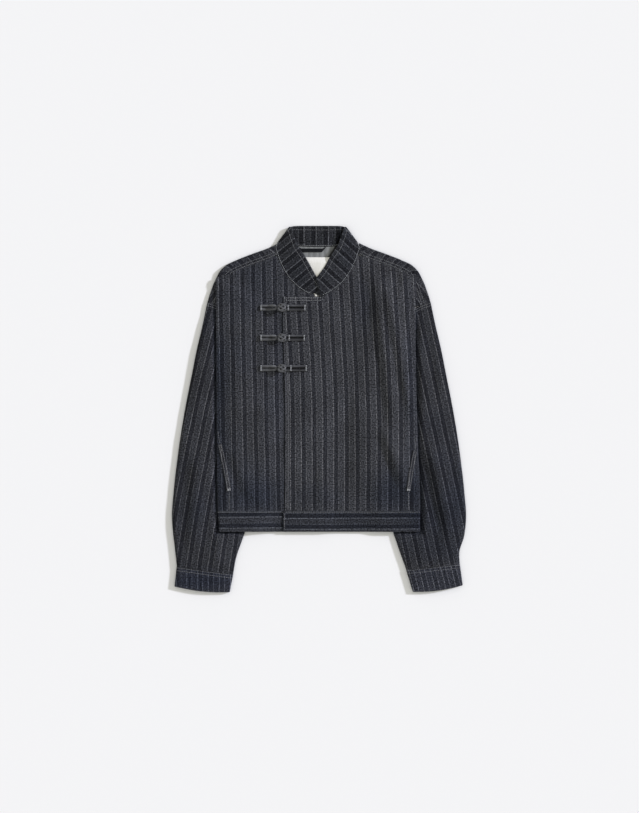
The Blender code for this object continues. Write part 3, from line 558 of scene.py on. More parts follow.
# Linear colours of the cloths and threads
CHARCOAL = Tones(
    line=(0.090, 0.091, 0.100), dark=(0.0215, 0.0224, 0.0275),
    faint=(0.063, 0.064, 0.071), ground=(0.0402, 0.0414, 0.0478),
)
SLEEVE_CHARCOAL = Tones(
    line=(0.074, 0.075, 0.083), dark=(0.0172, 0.0178, 0.0224),
    faint=(0.050, 0.051, 0.057), ground=(0.0313, 0.0323, 0.0380),
)
DEEP = Tones(
    line=(0.078, 0.080, 0.087), dark=(0.0126, 0.0132, 0.0160),
    faint=(0.046, 0.048, 0.053), ground=(0.0250, 0.0260, 0.0302),
)
NAVY = Tones(
    line=(0.076, 0.081, 0.096), dark=(0.0148, 0.0162, 0.0222),
    faint=(0.044, 0.047, 0.057), ground=(0.0290, 0.0306, 0.0376),
)
CUFF_NAVY = Tones(
    line=(0.086, 0.090, 0.106), dark=(0.0232, 0.0248, 0.0330),
    faint=(0.072, 0.075, 0.090), ground=(0.0300, 0.0316, 0.0412),
)
# Hues of light and of dark cloth; the dark one also tints the painted shade
LIGHT_CLOTH_HUE = (0.995, 1.0, 1.002, 1)
DARK_CLOTH_HUE = (0.88, 0.97, 1.16, 1)
RUBBED = (0.115, 0.118, 0.125, 1)
WRONG_SIDE = (0.200, 0.207, 0.211)
THREAD = (0.225, 0.230, 0.242)
BRIGHT_THREAD = (0.36, 0.37, 0.39)
# The frogs are one cord: the knots' cord is painted lighter and the loops' cord darker than the stems', as painted
# light and shade
CORD = (0.098, 0.100, 0.108)
LOOP_CORD = (0.056, 0.057, 0.064)
KNOT_CORD = (0.105, 0.107, 0.115)
SATIN = (0.75, 0.74, 0.71)
TAPE = (0.0075, 0.0082, 0.0100)
PAPER = (0.84, 0.84, 0.852)


def ease(t):
    """0 below 0, 1 above 1, smooth between."""
    t = np.clip(t, 0.0, 1.0)
    return t * t * (3 - 2 * t)


def bell(away, width):
    """1 at 0, and smaller to both sides."""
    return np.exp(-((away / width) ** 2))


def mix(a, b, t):
    return a + (b - a) * t


def stacked(*parts):
    """Coordinates from arrays of fitting shapes."""
    return np.stack(np.broadcast_arrays(*parts), axis=-1)


def unit(vectors):
    return vectors / np.maximum(np.linalg.norm(vectors, axis=-1, keepdims=True), 1e-12)


def column(table, name):
    return [getattr(row, name) for row in table]


def hermite(places, values, at):
    """A smooth curve through values, a row for each place, read at any number of places."""
    places, values, at = (np.asarray(k, float) for k in (places, values, at))
    slopes = np.gradient(values, places, axis=0)
    k = np.clip(np.searchsorted(places, at) - 1, 0, len(places) - 2)
    step = places[k + 1] - places[k]
    t = np.clip((at - places[k]) / step, 0, 1)
    if values.ndim > 1:
        step, t = step[..., None], t[..., None]
    start = (2 * t**3 - 3 * t**2 + 1) * values[k] + (t**3 - 2 * t**2 + t) * step * slopes[k]
    return start + (3 * t**2 - 2 * t**3) * values[k + 1] + (t**3 - t**2) * step * slopes[k + 1]


def lengths(points):
    """How far along each point is, in metres."""
    steps = np.linalg.norm(np.diff(np.asarray(points, float), axis=0), axis=-1)
    return np.concatenate([np.zeros((1,) + steps.shape[1:]), np.cumsum(steps, axis=0)])


def along_table(rows, share):
    rows = np.array(rows, float)
    places = lengths(rows[:, :2])
    return hermite(places / places[-1], rows, share)


# Heights and edges of the body
def side_x(side, y):
    return hermite(column(SIDES, "y"), column(SIDES, WORD[side]), y)


def lift(x, y):
    full = np.interp(y, column(LIFTED, "y"), column(LIFTED, "from_x"))
    return LIFT * ease((np.abs(x) - full + LIFT_RAMP) / LIFT_RAMP)


def tip_lift(x, y):
    return TIP_LIFT * ease((np.abs(x) - TIP_FROM_X) / TIP_RAMP_X) * ease((TIP_TOP_Y - y) / TIP_RAMP_Y)


def folds(table, x, y):
    """The height that a table's folds add: ridges and troughs that fade at their ends, one side gentler."""
    total = 0.0
    for fold in table:
        run = np.array([fold.x1 - fold.x0, fold.y1 - fold.y0])
        share = ((x - fold.x0) * run[0] + (y - fold.y0) * run[1]) / (run @ run)
        aside = ((x - fold.x0) * run[1] - (y - fold.y0) * run[0]) / np.hypot(*run)
        ends = ease(share / FOLD_END) * ease((1 - share) / FOLD_END)
        width = np.where(aside < 0, GENTLE_SIDE * fold.width, fold.width)
        total = total + fold.height * ends * bell(aside, width)
    return total


def tone_and_shade(points):
    """How bright the cloth is at points, by its soft patches, painted shade among them; 1 on average."""
    x, y = points[..., 0], points[..., 1]
    kept = np.ones_like(x)
    for patch in TONE_AND_SHADE_PATCHES:
        kept = kept * (1 + patch.amount * bell(x - patch.x, patch.reach_x) * bell(y - patch.y, patch.reach_y))
    return kept


def unevenness(x, y):
    """The waviness of handled cloth, from -1 to 1."""
    return sum(np.sin(wave.across * x + wave.along * y + wave.start) for wave in WAVES) / len(WAVES)


def puckers(along, away, reach=0.010):
    """Short uneven ripples across a seam, fading away from it."""
    ripple = np.sin(690 * along + 1.7 * np.sin(210 * along)) * (0.6 + 0.4 * np.sin(93 * along + 1.1))
    return ripple * bell(away, reach)


def front_height(side, x, y):
    """Middle of a front panel's wall, without its turned edge."""
    to_edge = side_x(side, y) - np.abs(x)
    window = ease(to_edge / FOLDS_IN) * ease((y - FOLDS_LOW_Y) / FOLDS_LOW_RAMP)
    window = window * ease((FOLDS_TOP_Y - y) / FOLDS_TOP_RAMP)
    height = FRONT_LEVEL + (lift(x, y) ** 4 + tip_lift(x, y) ** 4) ** 0.25
    height = height + window * (folds(FRONT_FOLDS[side], x, y) + UNEVEN * unevenness(x, y))
    height = height - EDGE_DROP[side] * ease((TIP_Y - y) / EDGE_DROP_RAMP) * bell(to_edge, EDGE_DROP_WIDTH)
    height = height + BAND_PUCKER * puckers(x, y - BAND_TOP_Y)
    if side > 0:
        height = height + FLAP_STEP * ease((FLAP_SPLIT_X + 0.001 + STEP_RAMP - x) / STEP_RAMP)
    return height


def collar_seam(side, share):
    """Points of the collar's seam, share 0 at the shoulder fold and 1 at the front end."""
    return along_table(NECK_SEAM + SEAM_END[side], share)


def neckline_x(side, y):
    """How far out a front's edge is where it follows the collar's seam."""
    seam = collar_seam(side, np.linspace(0, NECKLINE_END[side], 120))
    seam = seam[:int(np.argmin(seam[:, 1])) + 1]
    run = unit(np.gradient(seam, axis=0))
    edge = seam + NECK_GAP * stacked(-run[:, 1], run[:, 0])
    return side * NECK_X + np.interp(y, edge[::-1, 1], edge[::-1, 0])


def shoulder_place(side, share, inward):
    """Points on the shoulder line and the ways in; share 0 is where a point so far in clears the collar."""
    line = along_table(SHOULDER, np.linspace(0, 1, 400))
    places = lengths(line) / lengths(line)[-1]
    run = unit(np.gradient(line, axis=0))
    way = stacked(run[:, 1], -run[:, 0])
    upper_seam = collar_seam(side, np.linspace(0.45, 0, 60))
    depths = np.linspace(0, 0.035, 36)
    inside = line + depths[:, None, None] * way
    collar_x = side * NECK_X + np.interp(inside[..., 1], upper_seam[:, 1], upper_seam[:, 0])
    clear = YOKE_GAP + YOKE_TOP_GAP * ease((inside[..., 1] - YOKE_TOP_GAP_Y) / YOKE_TOP_GAP_RAMP)
    starts = places[np.argmax(inside[..., 0] > collar_x + clear, axis=1)]
    along = mix(np.interp(inward, depths, starts), 1, share)
    return [np.interp(along, places, values) for values in (*line.T, *way.T)]


def flap_edge_x(y):
    return hermite(column(FLAP_EDGE, "y"), column(FLAP_EDGE, "x"), y)


def grain(side, x, y):
    """Place across the stripes of a front."""
    if side > 0:
        upper = np.logaddexp(0, (y - FLAP_LEAN_Y) / FLAP_LEAN_RAMP)
        return x + FLAP_LEAN * FLAP_LEAN_RAMP * upper + FLAP_LINE
    return x + RIGHT_LEAN * (y - RIGHT_LEAN_Y) + RIGHT_LINE


# Materials
class Look:
    """A material with its shader, and short ways to add nodes to it."""

    def __init__(self, name, roughness, sheen=0.0, specular=0.06):
        self.material = bpy.data.materials.new(name)
        self.material.use_nodes = True
        self.tree = self.material.node_tree
        self.shader = self.tree.nodes["Principled BSDF"]
        even = {"Roughness": roughness, "Specular IOR Level": specular,
                "Sheen Weight": sheen, "Sheen Roughness": 0.5}
        for key, value in even.items():
            self.shader.inputs[key].default_value = value

    def node(self, kind, inputs=(), **settings):
        """A node with its settings, and its inputs set to values or joined to sockets."""
        made = self.tree.nodes.new(kind)
        for key, value in settings.items():
            setattr(made, key, value)
        for key, value in dict(inputs).items():
            if isinstance(value, bpy.types.NodeSocket):
                self.tree.links.new(value, made.inputs[key])
            else:
                made.inputs[key].default_value = value
        return made

    def join(self, socket, name):
        self.tree.links.new(socket, self.shader.inputs[name])

    def lay_out(self):
        """Reads the place on the cloth in metres: across the stripes, along them, and both as a vector."""
        self.place = self.node("ShaderNodeUVMap", uv_map="cloth").outputs[0]
        self.across, self.along, _ = self.node("ShaderNodeSeparateXYZ", {0: self.place}).outputs

    def stretched(self, across, along):
        """The place on the cloth, scaled."""
        inputs = {0: self.math("MULTIPLY", self.across, across),
                  1: self.math("MULTIPLY", self.along, along)}
        return self.node("ShaderNodeCombineXYZ", inputs).outputs[0]

    def math(self, operation, *values):
        return self.node("ShaderNodeMath", enumerate(values), operation=operation).outputs[0]

    def mix(self, share, first, second, blend="MIX"):
        inputs = {0: share, 6: first, 7: second}
        return self.node("ShaderNodeMix", inputs, data_type="RGBA", blend_type=blend).outputs[2]

    def times(self, colour, factor):
        """A colour times a number."""
        grey = self.node("ShaderNodeCombineColor", {0: factor, 1: factor, 2: factor}).outputs[0]
        return self.mix(1.0, colour, grey, "MULTIPLY")

    def attribute(self, name):
        return self.node("ShaderNodeAttribute", attribute_name=name).outputs["Fac"]

    def noise(self, vector, scale, detail=2.0, low=0.0, high=1.0, half=0.2):
        """Noise brought from its middle range, half to each side of 0.5, to low...high."""
        made = self.node("ShaderNodeTexNoise", {"Vector": vector, "Scale": scale, "Detail": detail})
        spread = {"Value": made.outputs["Fac"], "From Min": 0.5 - half, "From Max": 0.5 + half,
                  "To Min": low, "To Max": high}
        return self.node("ShaderNodeMapRange", spread).outputs[0]

    def weave(self, yarns, strength):
        """Relief of a diagonal weave and its thick and thin yarns."""
        repeat = 0.0013
        bands = {"Vector": self.place, "Scale": 2 * math.pi / (10 * repeat),
                 "Distortion": 0.8, "Detail": 1.0}
        twill = self.node("ShaderNodeTexWave", bands, bands_direction="DIAGONAL").outputs["Fac"]
        height = self.math("ADD", twill, self.math("MULTIPLY", yarns, 0.8))
        relief = {"Height": height, "Strength": strength, "Distance": 0.0004}
        self.join(self.node("ShaderNodeBump", relief).outputs[0], "Normal")


def striped_cloth(name, tones):
    """Cotton with a woven stripe: a light line, a dark band, a faint line and a lighter band."""
    look = Look(name, 0.88, sheen=0.02)
    look.lay_out()
    wander = look.noise(look.stretched(30, 14), 1.0, 1.0, -0.022, 0.022)
    turns = look.math("ADD", look.math("DIVIDE", look.across, STRIPE_REPEAT), wander)
    ramp = look.node("ShaderNodeValToRGB", {0: look.math("FRACT", turns)})
    stops = ((0.0, tones.line), (0.070, tones.line), (0.090, tones.dark), (0.450, tones.dark),
             (0.470, tones.faint), (0.525, tones.faint), (0.545, tones.ground), (0.980, tones.ground))
    for _ in range(len(stops) - 2):
        ramp.color_ramp.elements.new(0.5)
    for element, (at, colour) in zip(ramp.color_ramp.elements, stops):
        element.position = at
        element.color = (*colour, 1)
    yarns = look.noise(look.stretched(1, 0.035), 1300.0)
    flecks = look.noise(look.stretched(1, 0.9), 430.0, 1.0, 0.24, 1.76, half=0.15)
    streaks = look.noise(look.stretched(1, 0.03), 560.0, 2.0, 0.84, 1.16)
    fading = look.noise(look.place, 17.0, 3.0, 0.86, 1.14)
    shade = look.attribute("shade")
    colour = ramp.outputs[0]
    for factor in (flecks, streaks, fading, shade):
        colour = look.times(colour, factor)
    # The cloth turns bluer where it is darker, in the painted shade as well as in the darker patches.
    bluer_where_darker = look.math("MULTIPLY", look.math("SUBTRACT", 0.9, shade), 2.6)
    bluer = look.math("ADD", look.noise(look.place, 11.0, 2.0, 0.0, 0.45), bluer_where_darker)
    colour = look.mix(1.0, colour, look.mix(bluer, LIGHT_CLOTH_HUE, DARK_CLOTH_HUE), "MULTIPLY")
    rubbed = look.math("MULTIPLY", look.attribute("edge"), look.noise(look.place, 420.0, 3.0, 0.0, 0.14))
    look.join(look.mix(rubbed, colour, RUBBED), "Base Color")
    look.join(look.noise(look.place, 700.0, 2.0, 0.80, 0.95), "Roughness")
    look.weave(yarns, 0.35)
    return look.material


def plain_cloth(name, colour, contrast=0.15, sheen=0.02, roughness=0.85, strength=0.35,
                stripe=0.0, flank=0.0):
    """Cloth of one colour, unevenly toned; stripe shows stripes, flank paints a cord lighter on one flank and darker
    on the other, as painted light and shade.
    """
    look = Look(name, roughness, sheen)
    look.lay_out()
    yarns = look.noise(look.stretched(1, 0.06), 1100.0, 2.0, 1 - contrast, 1 + contrast)
    uneven = look.noise(look.place, 45.0, 3.0, 1 - contrast / 2, 1 + contrast / 2)
    mixed = (*colour, 1)
    for factor in (yarns, uneven, look.attribute("shade")):
        mixed = look.times(mixed, factor)
    # Stripes, and painted light and shade round a cord by its angle: one flank lighter, the other darker
    waves = (("SINE", 4 * math.pi / STRIPE_REPEAT, stripe), ("COSINE", 1 / CORD_RADIUS, flank))
    for kind, rate, amount in waves:
        if amount:
            wave = look.math(kind, look.math("MULTIPLY", look.across, rate))
            mixed = look.times(mixed, look.math("ADD", look.math("MULTIPLY", wave, amount), 1.0))
    look.join(mixed, "Base Color")
    look.join(look.noise(look.place, 600.0, 2.0, roughness - 0.08, roughness + 0.08), "Roughness")
    look.weave(yarns, strength)
    return look.material


# Meshes
def cells(*counts):
    """Row and column numbers of all cells of a grid."""
    return [k.ravel() for k in np.meshgrid(*(np.arange(n) for n in counts), indexing="ij")]


def cell_faces(r, c, number, place, order=(0, 1, 2, 3)):
    """Faces of cells, and their corners' places; number and place say what is at a row and column."""
    around = ((r, c), (r, c + 1), (r + 1, c + 1), (r + 1, c))
    corners = [around[k] for k in order]
    return np.stack([number(*k) for k in corners], axis=1), np.stack([place(*k) for k in corners], axis=1)


def new_piece(name, shape, looks, slot, dressed=False, face_looks=0, edge=0.0, shade=1.0):
    """An object from its points, faces and places; a dressed one stands for the solid of its name."""
    points, faces, places = shape
    mesh = bpy.data.meshes.new(name)
    mesh.from_pydata(points.tolist(), [], faces.tolist())
    mesh.uv_layers.new(name="cloth").data.foreach_set("uv", np.asarray(places, np.float32).ravel())
    for look in looks:
        mesh.materials.append(look)
    mesh.polygons.foreach_set("material_index", np.broadcast_to(face_looks, len(faces)).astype(np.int32))
    for title, values in (("edge", edge), ("shade", shade)):
        layer = mesh.attributes.new(title, "FLOAT", "POINT")
        layer.data.foreach_set("value", np.broadcast_to(values, len(points)).astype(np.float32))
    mesh.shade_smooth()
    made = bpy.data.objects.new(name + "_dressed" if dressed else name, mesh)
    bpy.context.scene.collection.objects.link(made)
    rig.ride(made, "root")
    if dressed:
        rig.replaces(made, name)
    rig.slot(made, slot)
    return made


def cut_area(points, closed=False, keep=None):
    """Area of the cloth in a grid of points."""
    if closed:
        points = np.concatenate([points, points[:, :1]], axis=1)
    a, b, c, d = points[:-1, :-1], points[:-1, 1:], points[1:, 1:], points[1:, :-1]
    area = np.linalg.norm(np.cross(c - a, d - b), axis=2) / 2
    if keep is None:
        return float(area.sum())
    return float(area.ravel()[keep(*cells(*area.shape))].sum())


def shell(name, points, places, wall, looks, slot, held="laid", rests_on=(), flat=None, area=None,
          closed=False, flip=False, keep=None, shade=1.0):
    """A cloth wall with rounded edges on a grid of points, rows by columns, stated as a sheet."""
    rows, columns = points.shape[:2]
    if closed:
        run = np.roll(points, -1, axis=1) - np.roll(points, 1, axis=1)
    else:
        run = np.gradient(points, axis=1)
    normals = unit(np.cross(run, np.gradient(points, axis=0)))
    if flip:
        normals = -normals
    r, c = cells(rows - 1, columns if closed else columns - 1)
    if keep is not None:
        kept = keep(r, c)
        r, c = r[kept], c[kept]
    order = (3, 2, 1, 0) if flip else (0, 1, 2, 3)
    quads, quad_places = cell_faces(
        r, c, lambda a, b: a * columns + b % columns, lambda a, b: places[a, b], order)
    count = rows * columns
    middle, out = points.reshape(-1, 3), normals.reshape(-1, 3)

    pairs = np.concatenate([quads[:, [k, (k + 1) % 4]] for k in range(4)])
    pair_places = np.concatenate([quad_places[:, [k, (k + 1) % 4]] for k in range(4)])
    key = np.sort(pairs, axis=1) @ np.array([count, 1])
    _, index, seen = np.unique(key, return_index=True, return_counts=True)
    rim, rim_places = pairs[index[seen == 1]], pair_places[index[seen == 1]]
    along = middle[rim[:, 1]] - middle[rim[:, 0]]
    outward = np.zeros_like(middle)
    for end in (0, 1):
        np.add.at(outward, rim[:, end], np.cross(along, out[rim[:, end]]))
    outward = unit(outward)

    angles = np.linspace(0, math.pi, 5)
    layers = [middle + (out * math.cos(k) + outward * math.sin(k)) * wall / 2 for k in angles]
    faces = [quads, quads[:, ::-1] + 4 * count]
    corner_places = [quad_places, quad_places[:, ::-1]]
    for k in range(4):
        faces.append(rim[:, [1, 0, 0, 1]] + count * np.array([k, k, k + 1, k + 1]))
        corner_places.append(rim_places[:, [1, 0, 0, 1]])
    face_looks = np.zeros(sum(len(k) for k in faces), int)
    face_looks[len(quads):2 * len(quads)] = len(looks) - 1

    tree = kdtree.KDTree(len(rim))
    for k, point in enumerate(middle[rim[:, 0]]):
        tree.insert(point, k)
    tree.balance()
    away = np.array([tree.find(point)[2] for point in middle])
    edge = np.tile(np.exp(-away / RUB_REACH), len(layers))
    shade = np.tile(np.broadcast_to(shade, (rows, columns)).ravel(), len(layers))

    all_points, faces = np.concatenate(layers), np.concatenate(faces)
    used = np.unique(faces)
    renumber = np.zeros(len(all_points), int)
    renumber[used] = np.arange(len(used))
    shape = all_points[used], renumber[faces], np.concatenate(corner_places)
    made = new_piece(name, shape, looks, slot, True, face_looks, edge[used], shade[used])
    flat = flat or FLAT[name]
    area = area or min(cut_area(points, closed, keep), flat[0] * flat[1])
    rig.sheet(made, flat, held, *([rests_on] if rests_on else []), area=area)
    return Panel(points, normals, wall)


def tube(path, radius, sides, closed=False, flatten=1.0):
    """Points, faces and places of a round cord along a path; flatten presses it in z."""
    path = np.asarray(path, float)
    run = np.roll(path, -1, axis=0) - np.roll(path, 1, axis=0) if closed else np.gradient(path, axis=0)
    run = unit(run)
    aside = [unit(np.cross(run[0], (0.31, 0.17, 0.94)))]
    for step in run[1:]:
        aside.append(unit(aside[-1] - step * (aside[-1] @ step)))
    aside = np.array(aside)
    up = np.cross(run, aside)
    angles = (np.arange(sides) * 2 * math.pi / sides)[None, :, None]
    ring = np.cos(angles) * aside[:, None] + np.sin(angles) * up[:, None]
    points = path[:, None] + radius * ring * np.array([1, 1, flatten])
    count = len(path)
    along = np.append(lengths(path), lengths(path)[-1] + 0.001)
    faces, places = cell_faces(
        *cells(count if closed else count - 1, sides), lambda a, b: (a % count) * sides + b % sides,
        lambda a, b: stacked(b * 2 * math.pi * radius / sides, along[a]))
    return points.reshape(-1, 3), faces, places


def joined(parts):
    """Several lots of points, faces and places as one."""
    points, faces, places = zip(*parts)
    starts = np.cumsum([0] + [len(k) for k in points])
    faces = [k + at for k, at in zip(faces, starts)]
    return np.concatenate(points), np.concatenate(faces), np.concatenate(places)


# Sewing
def stitches(lines):
    """Threads along lines of points and normals, each dipping into the cloth at its ends."""
    shares, high, thick = np.array(STITCH).T
    high, thick = (THREAD_RADIUS * k[None, :, None] for k in (high, thick))
    sides = 4
    parts = []
    for points, normals in lines:
        places = lengths(points)
        count = int(places[-1] / STITCH_PITCH)
        if count < 1:
            continue
        spare = (places[-1] - count * STITCH_PITCH) / 2
        starts = spare + STITCH_PITCH * np.arange(count) + (STITCH_PITCH - STITCH_LENGTH) / 2
        at = starts[:, None] + shares * STITCH_LENGTH
        place, up = (stacked(*(np.interp(at, places, k) for k in values.T)) for values in (points, normals))
        up = unit(up)
        aside = np.cross(unit(np.gradient(place, axis=1)), up) * thick
        centre = place + up * high
        up = up * thick * THREAD_FLATTEN
        ring = np.stack([centre + aside, centre + up, centre - aside, centre - up], axis=2)
        n, r, c = cells(count, len(shares) - 1, sides)
        faces, on_thread = cell_faces(
            r, c, lambda a, b: (n * len(shares) + a) * sides + b % sides,
            lambda a, b: stacked(b % sides * 0.0005 + n * 0.01, a * 0.0007))
        parts.append((ring.reshape(-1, 3), faces, on_thread))
    return joined(parts)


def sew(name, lines, slot="pinstripe_cloth", look=None):
    return new_piece(name, stitches(lines), [look or thread], slot)


def on_panel(panel, row, place, face=1):
    """Points on a panel's surface and their normals, at places between its grid's points."""
    row, place = np.broadcast_arrays(np.asarray(row, float), np.asarray(place, float))
    rows, columns = panel.points.shape[:2]
    r = np.clip(row.astype(int), 0, rows - 2)
    c = np.clip(place.astype(int), 0, columns - 2)
    a, b = (row - r)[:, None], (place - c)[:, None]

    def read(grid):
        low = mix(grid[r, c], grid[r, c + 1], b)
        return mix(low, mix(grid[r + 1, c], grid[r + 1, c + 1], b), a)

    normals = unit(read(panel.normals) * face)
    return read(panel.points) + normals * panel.wall / 2, normals


def on_front(side, x, y):
    """Points on top of a front panel and their normals."""
    x, y = (np.asarray(k, float) for k in np.broadcast_arrays(x, y))
    d = 0.0008
    slope_x = (front_height(side, x + d, y) - front_height(side, x - d, y)) / (2 * d)
    slope_y = (front_height(side, x, y + d) - front_height(side, x, y - d)) / (2 * d)
    normals = unit(stacked(-slope_x, -slope_y, 1.0))
    return stacked(x, y, front_height(side, x, y)) + normals * (CLOTH / 2), normals


# Body
def make_front(side):
    """A front panel, columns from its inner edge to the turned side edge, rows from hem to shoulder."""
    flap_columns = 25 if side > 0 else 0
    body_columns, turns = 60, 9
    rows = np.concatenate([np.linspace(BAND_TOP_Y + SEAM_GAP, FLAP_FINE_Y, 134, endpoint=False),
                           np.linspace(FLAP_FINE_Y, FLAP_TOP_Y, 6, endpoint=False),
                           np.linspace(FLAP_TOP_Y, FRONT_TOP_Y, 54)])
    y = rows[:, None]

    seam_in = YOKE_WIDTH + SEAM_GAP
    line_x, line_y, way_x, way_y = shoulder_place(side, np.linspace(0, 1, 200), seam_in)
    at_seam = np.interp(-np.maximum(rows, TIP_Y), -(line_y + way_y * seam_in), line_x + way_x * seam_in)
    outer = mix(at_seam, side_x(side, rows), ease((TIP_Y - rows) / (TIP_Y - FOLD_Y)))[:, None]
    bend = math.radians(90) * ease((FOLD_Y - y) / ROLL_RAMP)
    step = ROLL * math.radians(90) / ROLL_BEND / turns
    angles = bend * np.minimum((np.arange(turns) + 0.5) / (turns * ROLL_BEND), 1)
    turn_out = np.cumsum(step * np.cos(angles), axis=1)
    turn_down = np.cumsum(step * np.sin(angles), axis=1)
    turn_starts = outer - CLOTH / 2 * np.sin(bend) - turn_out[:, -1:]

    neck = neckline_x(side, y)
    shares = np.arange(body_columns + 1) / body_columns
    if side > 0:
        inner = np.where(y > FLAP_TOP_Y, np.maximum(FLAP_SPLIT_X, neck), FLAP_SPLIT_X)
        flap = mix(flap_edge_x(y), FLAP_SPLIT_X, (np.arange(flap_columns) / flap_columns) ** 1.5)
    else:
        under = mix(UNDERLAP_X, GAP_X, ease((y - GAP_LOW_Y) / GAP_RAMP))
        inner = np.where(y > GAP_TOP_Y, np.minimum(under, -neck), under)
        flap = np.zeros((len(rows), 0))
        by_flap_edge = np.linspace(0.3402, 0.3802, 15)
        shares = np.sort(np.concatenate([shares, by_flap_edge]))
    x = np.concatenate([flap, mix(inner, side * turn_starts, shares)], axis=1)
    z = front_height(side, x, np.broadcast_to(y, x.shape))
    u = grain(side, x, y)
    x = np.concatenate([x, side * (turn_starts + turn_out)], axis=1)
    z = np.concatenate([z, z[:, -1:] - turn_down], axis=1)
    u = np.concatenate([u, u[:, -1:] + side * step * np.arange(1, turns + 1)], axis=1)
    points = stacked(x, y, z)
    top_row = int(np.argmin(np.abs(rows - FLAP_TOP_Y)))

    def keep(r, c):
        return (c >= flap_columns) | (r < top_row)

    # Painted shade along the turned side edge, mostly on the right front, together with its darker, bluer unfaded dye
    to_edge = side_x(side, y) - np.abs(x)
    by_edge = bell(to_edge, EDGE_SHADE_WIDTH) * ease((EDGE_SHADE_TOP_Y - y) / EDGE_SHADE_RAMP)
    shade = FRONT_SHADE[side] * tone_and_shade(points) * (1 - PAINTED_EDGE_SHADE[side] * by_edge)
    from_flap = x - flap_edge_x(np.minimum(y, FLAP_TOP_Y))
    if side > 0:
        shade = shade * (1 + FLAP_RUBBED * bell(from_flap, FLAP_RUBBED_WIDTH))
    else:
        # Painted shadow: a thin dark line on the cloth beside the flap's edge
        painted_shade_by_flap = bell(from_flap + FLAP_SHADE_AWAY, FLAP_SHADE_WIDTH) * (y < FLAP_TOP_Y)
        shade = shade * (1 - PAINTED_FLAP_SHADE * painted_shade_by_flap)
    shell("front_" + WORD[side], points, stacked(u, y + ALONG_START), CLOTH, [charcoal, wrong_side],
          "pinstripe_cloth", rests_on=["back"], flip=side < 0, keep=keep, shade=shade)


def collar_back_seam_y(x):
    return COLLAR_FOLD_SEAM.y - COLLAR_SEAM_DIP * (1 - (x / COLLAR_FOLD_SEAM.x) ** 2)


def painted_shade_under_collar(x, y):
    """How much is left of the colour beside the free edge of the collar's left front, on what lies under it: painted
    shade.
    """
    edge = np.array(COLLAR_EDGE + EDGE_END[1])[::-1]
    from_edge = x - NECK_X - np.interp(y, edge[:, 1], edge[:, 0])
    darker = PAINTED_COLLAR_GAP_SHADE * bell(from_edge + COLLAR_GAP_AWAY, COLLAR_GAP_WIDTH)
    return 1 - darker * ease((y - COLLAR_GAP_LOW_Y) / COLLAR_GAP_RAMP)


def make_back():
    """The back panel, flat on the floor and lifted at its sides, up to the neck seam."""
    first, last = BACK_EDGE[0].y, BACK_EDGE[-1].y
    rows = np.concatenate([np.linspace(BAND_TOP_Y + SEAM_GAP, first, 90, endpoint=False),
                           np.linspace(first, last, 36)])
    edges = []
    for side in WORD:
        inside = np.interp(rows, column(BACK_EDGE, "y"), column(BACK_EDGE, WORD[side]))
        by_side = side_x(side, rows) - CLOTH - SEAM_GAP - BACK_INSET
        edges.append(side * np.where(rows <= first, by_side, inside)[:, None])
    x = mix(*edges, np.linspace(0, 1, 101))
    above = np.linspace(0, 1, 9)[1:, None]
    top_y = mix(last, collar_back_seam_y(x[-1:] - NECK_X) - SEAM_GAP, above)
    y = np.concatenate([np.broadcast_to(rows[:, None], x.shape), top_y])
    x = np.concatenate([x, np.broadcast_to(x[-1:], top_y.shape)])
    # The back's wrong side takes the painted shade under the collar's left front.
    shell("back", stacked(x, y, BACK_LEVEL + lift(x, y)), stacked(x - BACK_LINE, y + ALONG_START), CLOTH,
          [wrong_side, charcoal], "pinstripe_cloth", shade=painted_shade_under_collar(x, y))


def make_yoke(side):
    """The strip over a shoulder: a leg under it, a turn at the outline and a leg on top."""
    shares = np.linspace(0, 1, 84)[:, None]
    under, turn, top = 9, 10, 10
    width = mix(YOKE_WIDTH, YOKE_END_WIDTH[side], ease((shares - 0.6) / 0.4))
    below = mix(YOKE_UNDER, YOKE_END_UNDER, ease((shares - 0.68) / 0.3))
    turn_from = CLOTH / 2 + YOKE_TURN
    angle = math.pi * np.arange(turn)[None] / turn
    t = np.arange(top + 1)[None] / top
    ones = np.ones_like(shares)
    inward = np.concatenate([mix(below, turn_from, np.arange(under)[None] / under),
                             (turn_from - YOKE_TURN * np.sin(angle)) * ones,
                             mix(turn_from, width, t)], axis=1)
    ripple = YOKE_PUCKER * puckers(shares * YOKE_LENGTH, (1 - t) * width, YOKE_PUCKER_REACH)
    z = np.concatenate([np.full((1, under), BACK_LEVEL) * ones,
                        (BACK_LEVEL + YOKE_TURN * (1 - np.cos(angle))) * ones,
                        FRONT_LEVEL + ripple], axis=1)
    line_x, line_y, way_x, way_y = shoulder_place(side, shares, inward)
    risen = np.concatenate([np.zeros(under), (1 - np.cos(angle[0])) / 2, np.ones(top + 1)])
    by_corner = bell(line_y - YOKE_PUFF_Y, YOKE_PUFF_LONG) * ease(1 - inward / YOKE_PUFF_WIDE)
    z = z + YOKE_PUFF * risen * by_corner
    points = stacked(side * (line_x + way_x * inward), line_y + way_y * inward, z)
    unfolded = inward[:, :1] - lengths(np.moveaxis(points, 1, 0)).T
    u, v = side * (line_x + way_x * unfolded), line_y + way_y * unfolded
    panel = shell("yoke_" + WORD[side], points, stacked(u - BACK_LINE, v + ALONG_START), CLOTH,
                  [sleeve_charcoal, wrong_side], "pinstripe_cloth", "folded", ["back"],
                  flip=side < 0, shade=tone_and_shade(points))
    top_share = [(inside - turn_from) / (width[:, 0] - turn_from) for inside in YOKE_ROWS]
    return [on_panel(panel, np.arange(len(shares)), under + turn + top * share) for share in top_share]


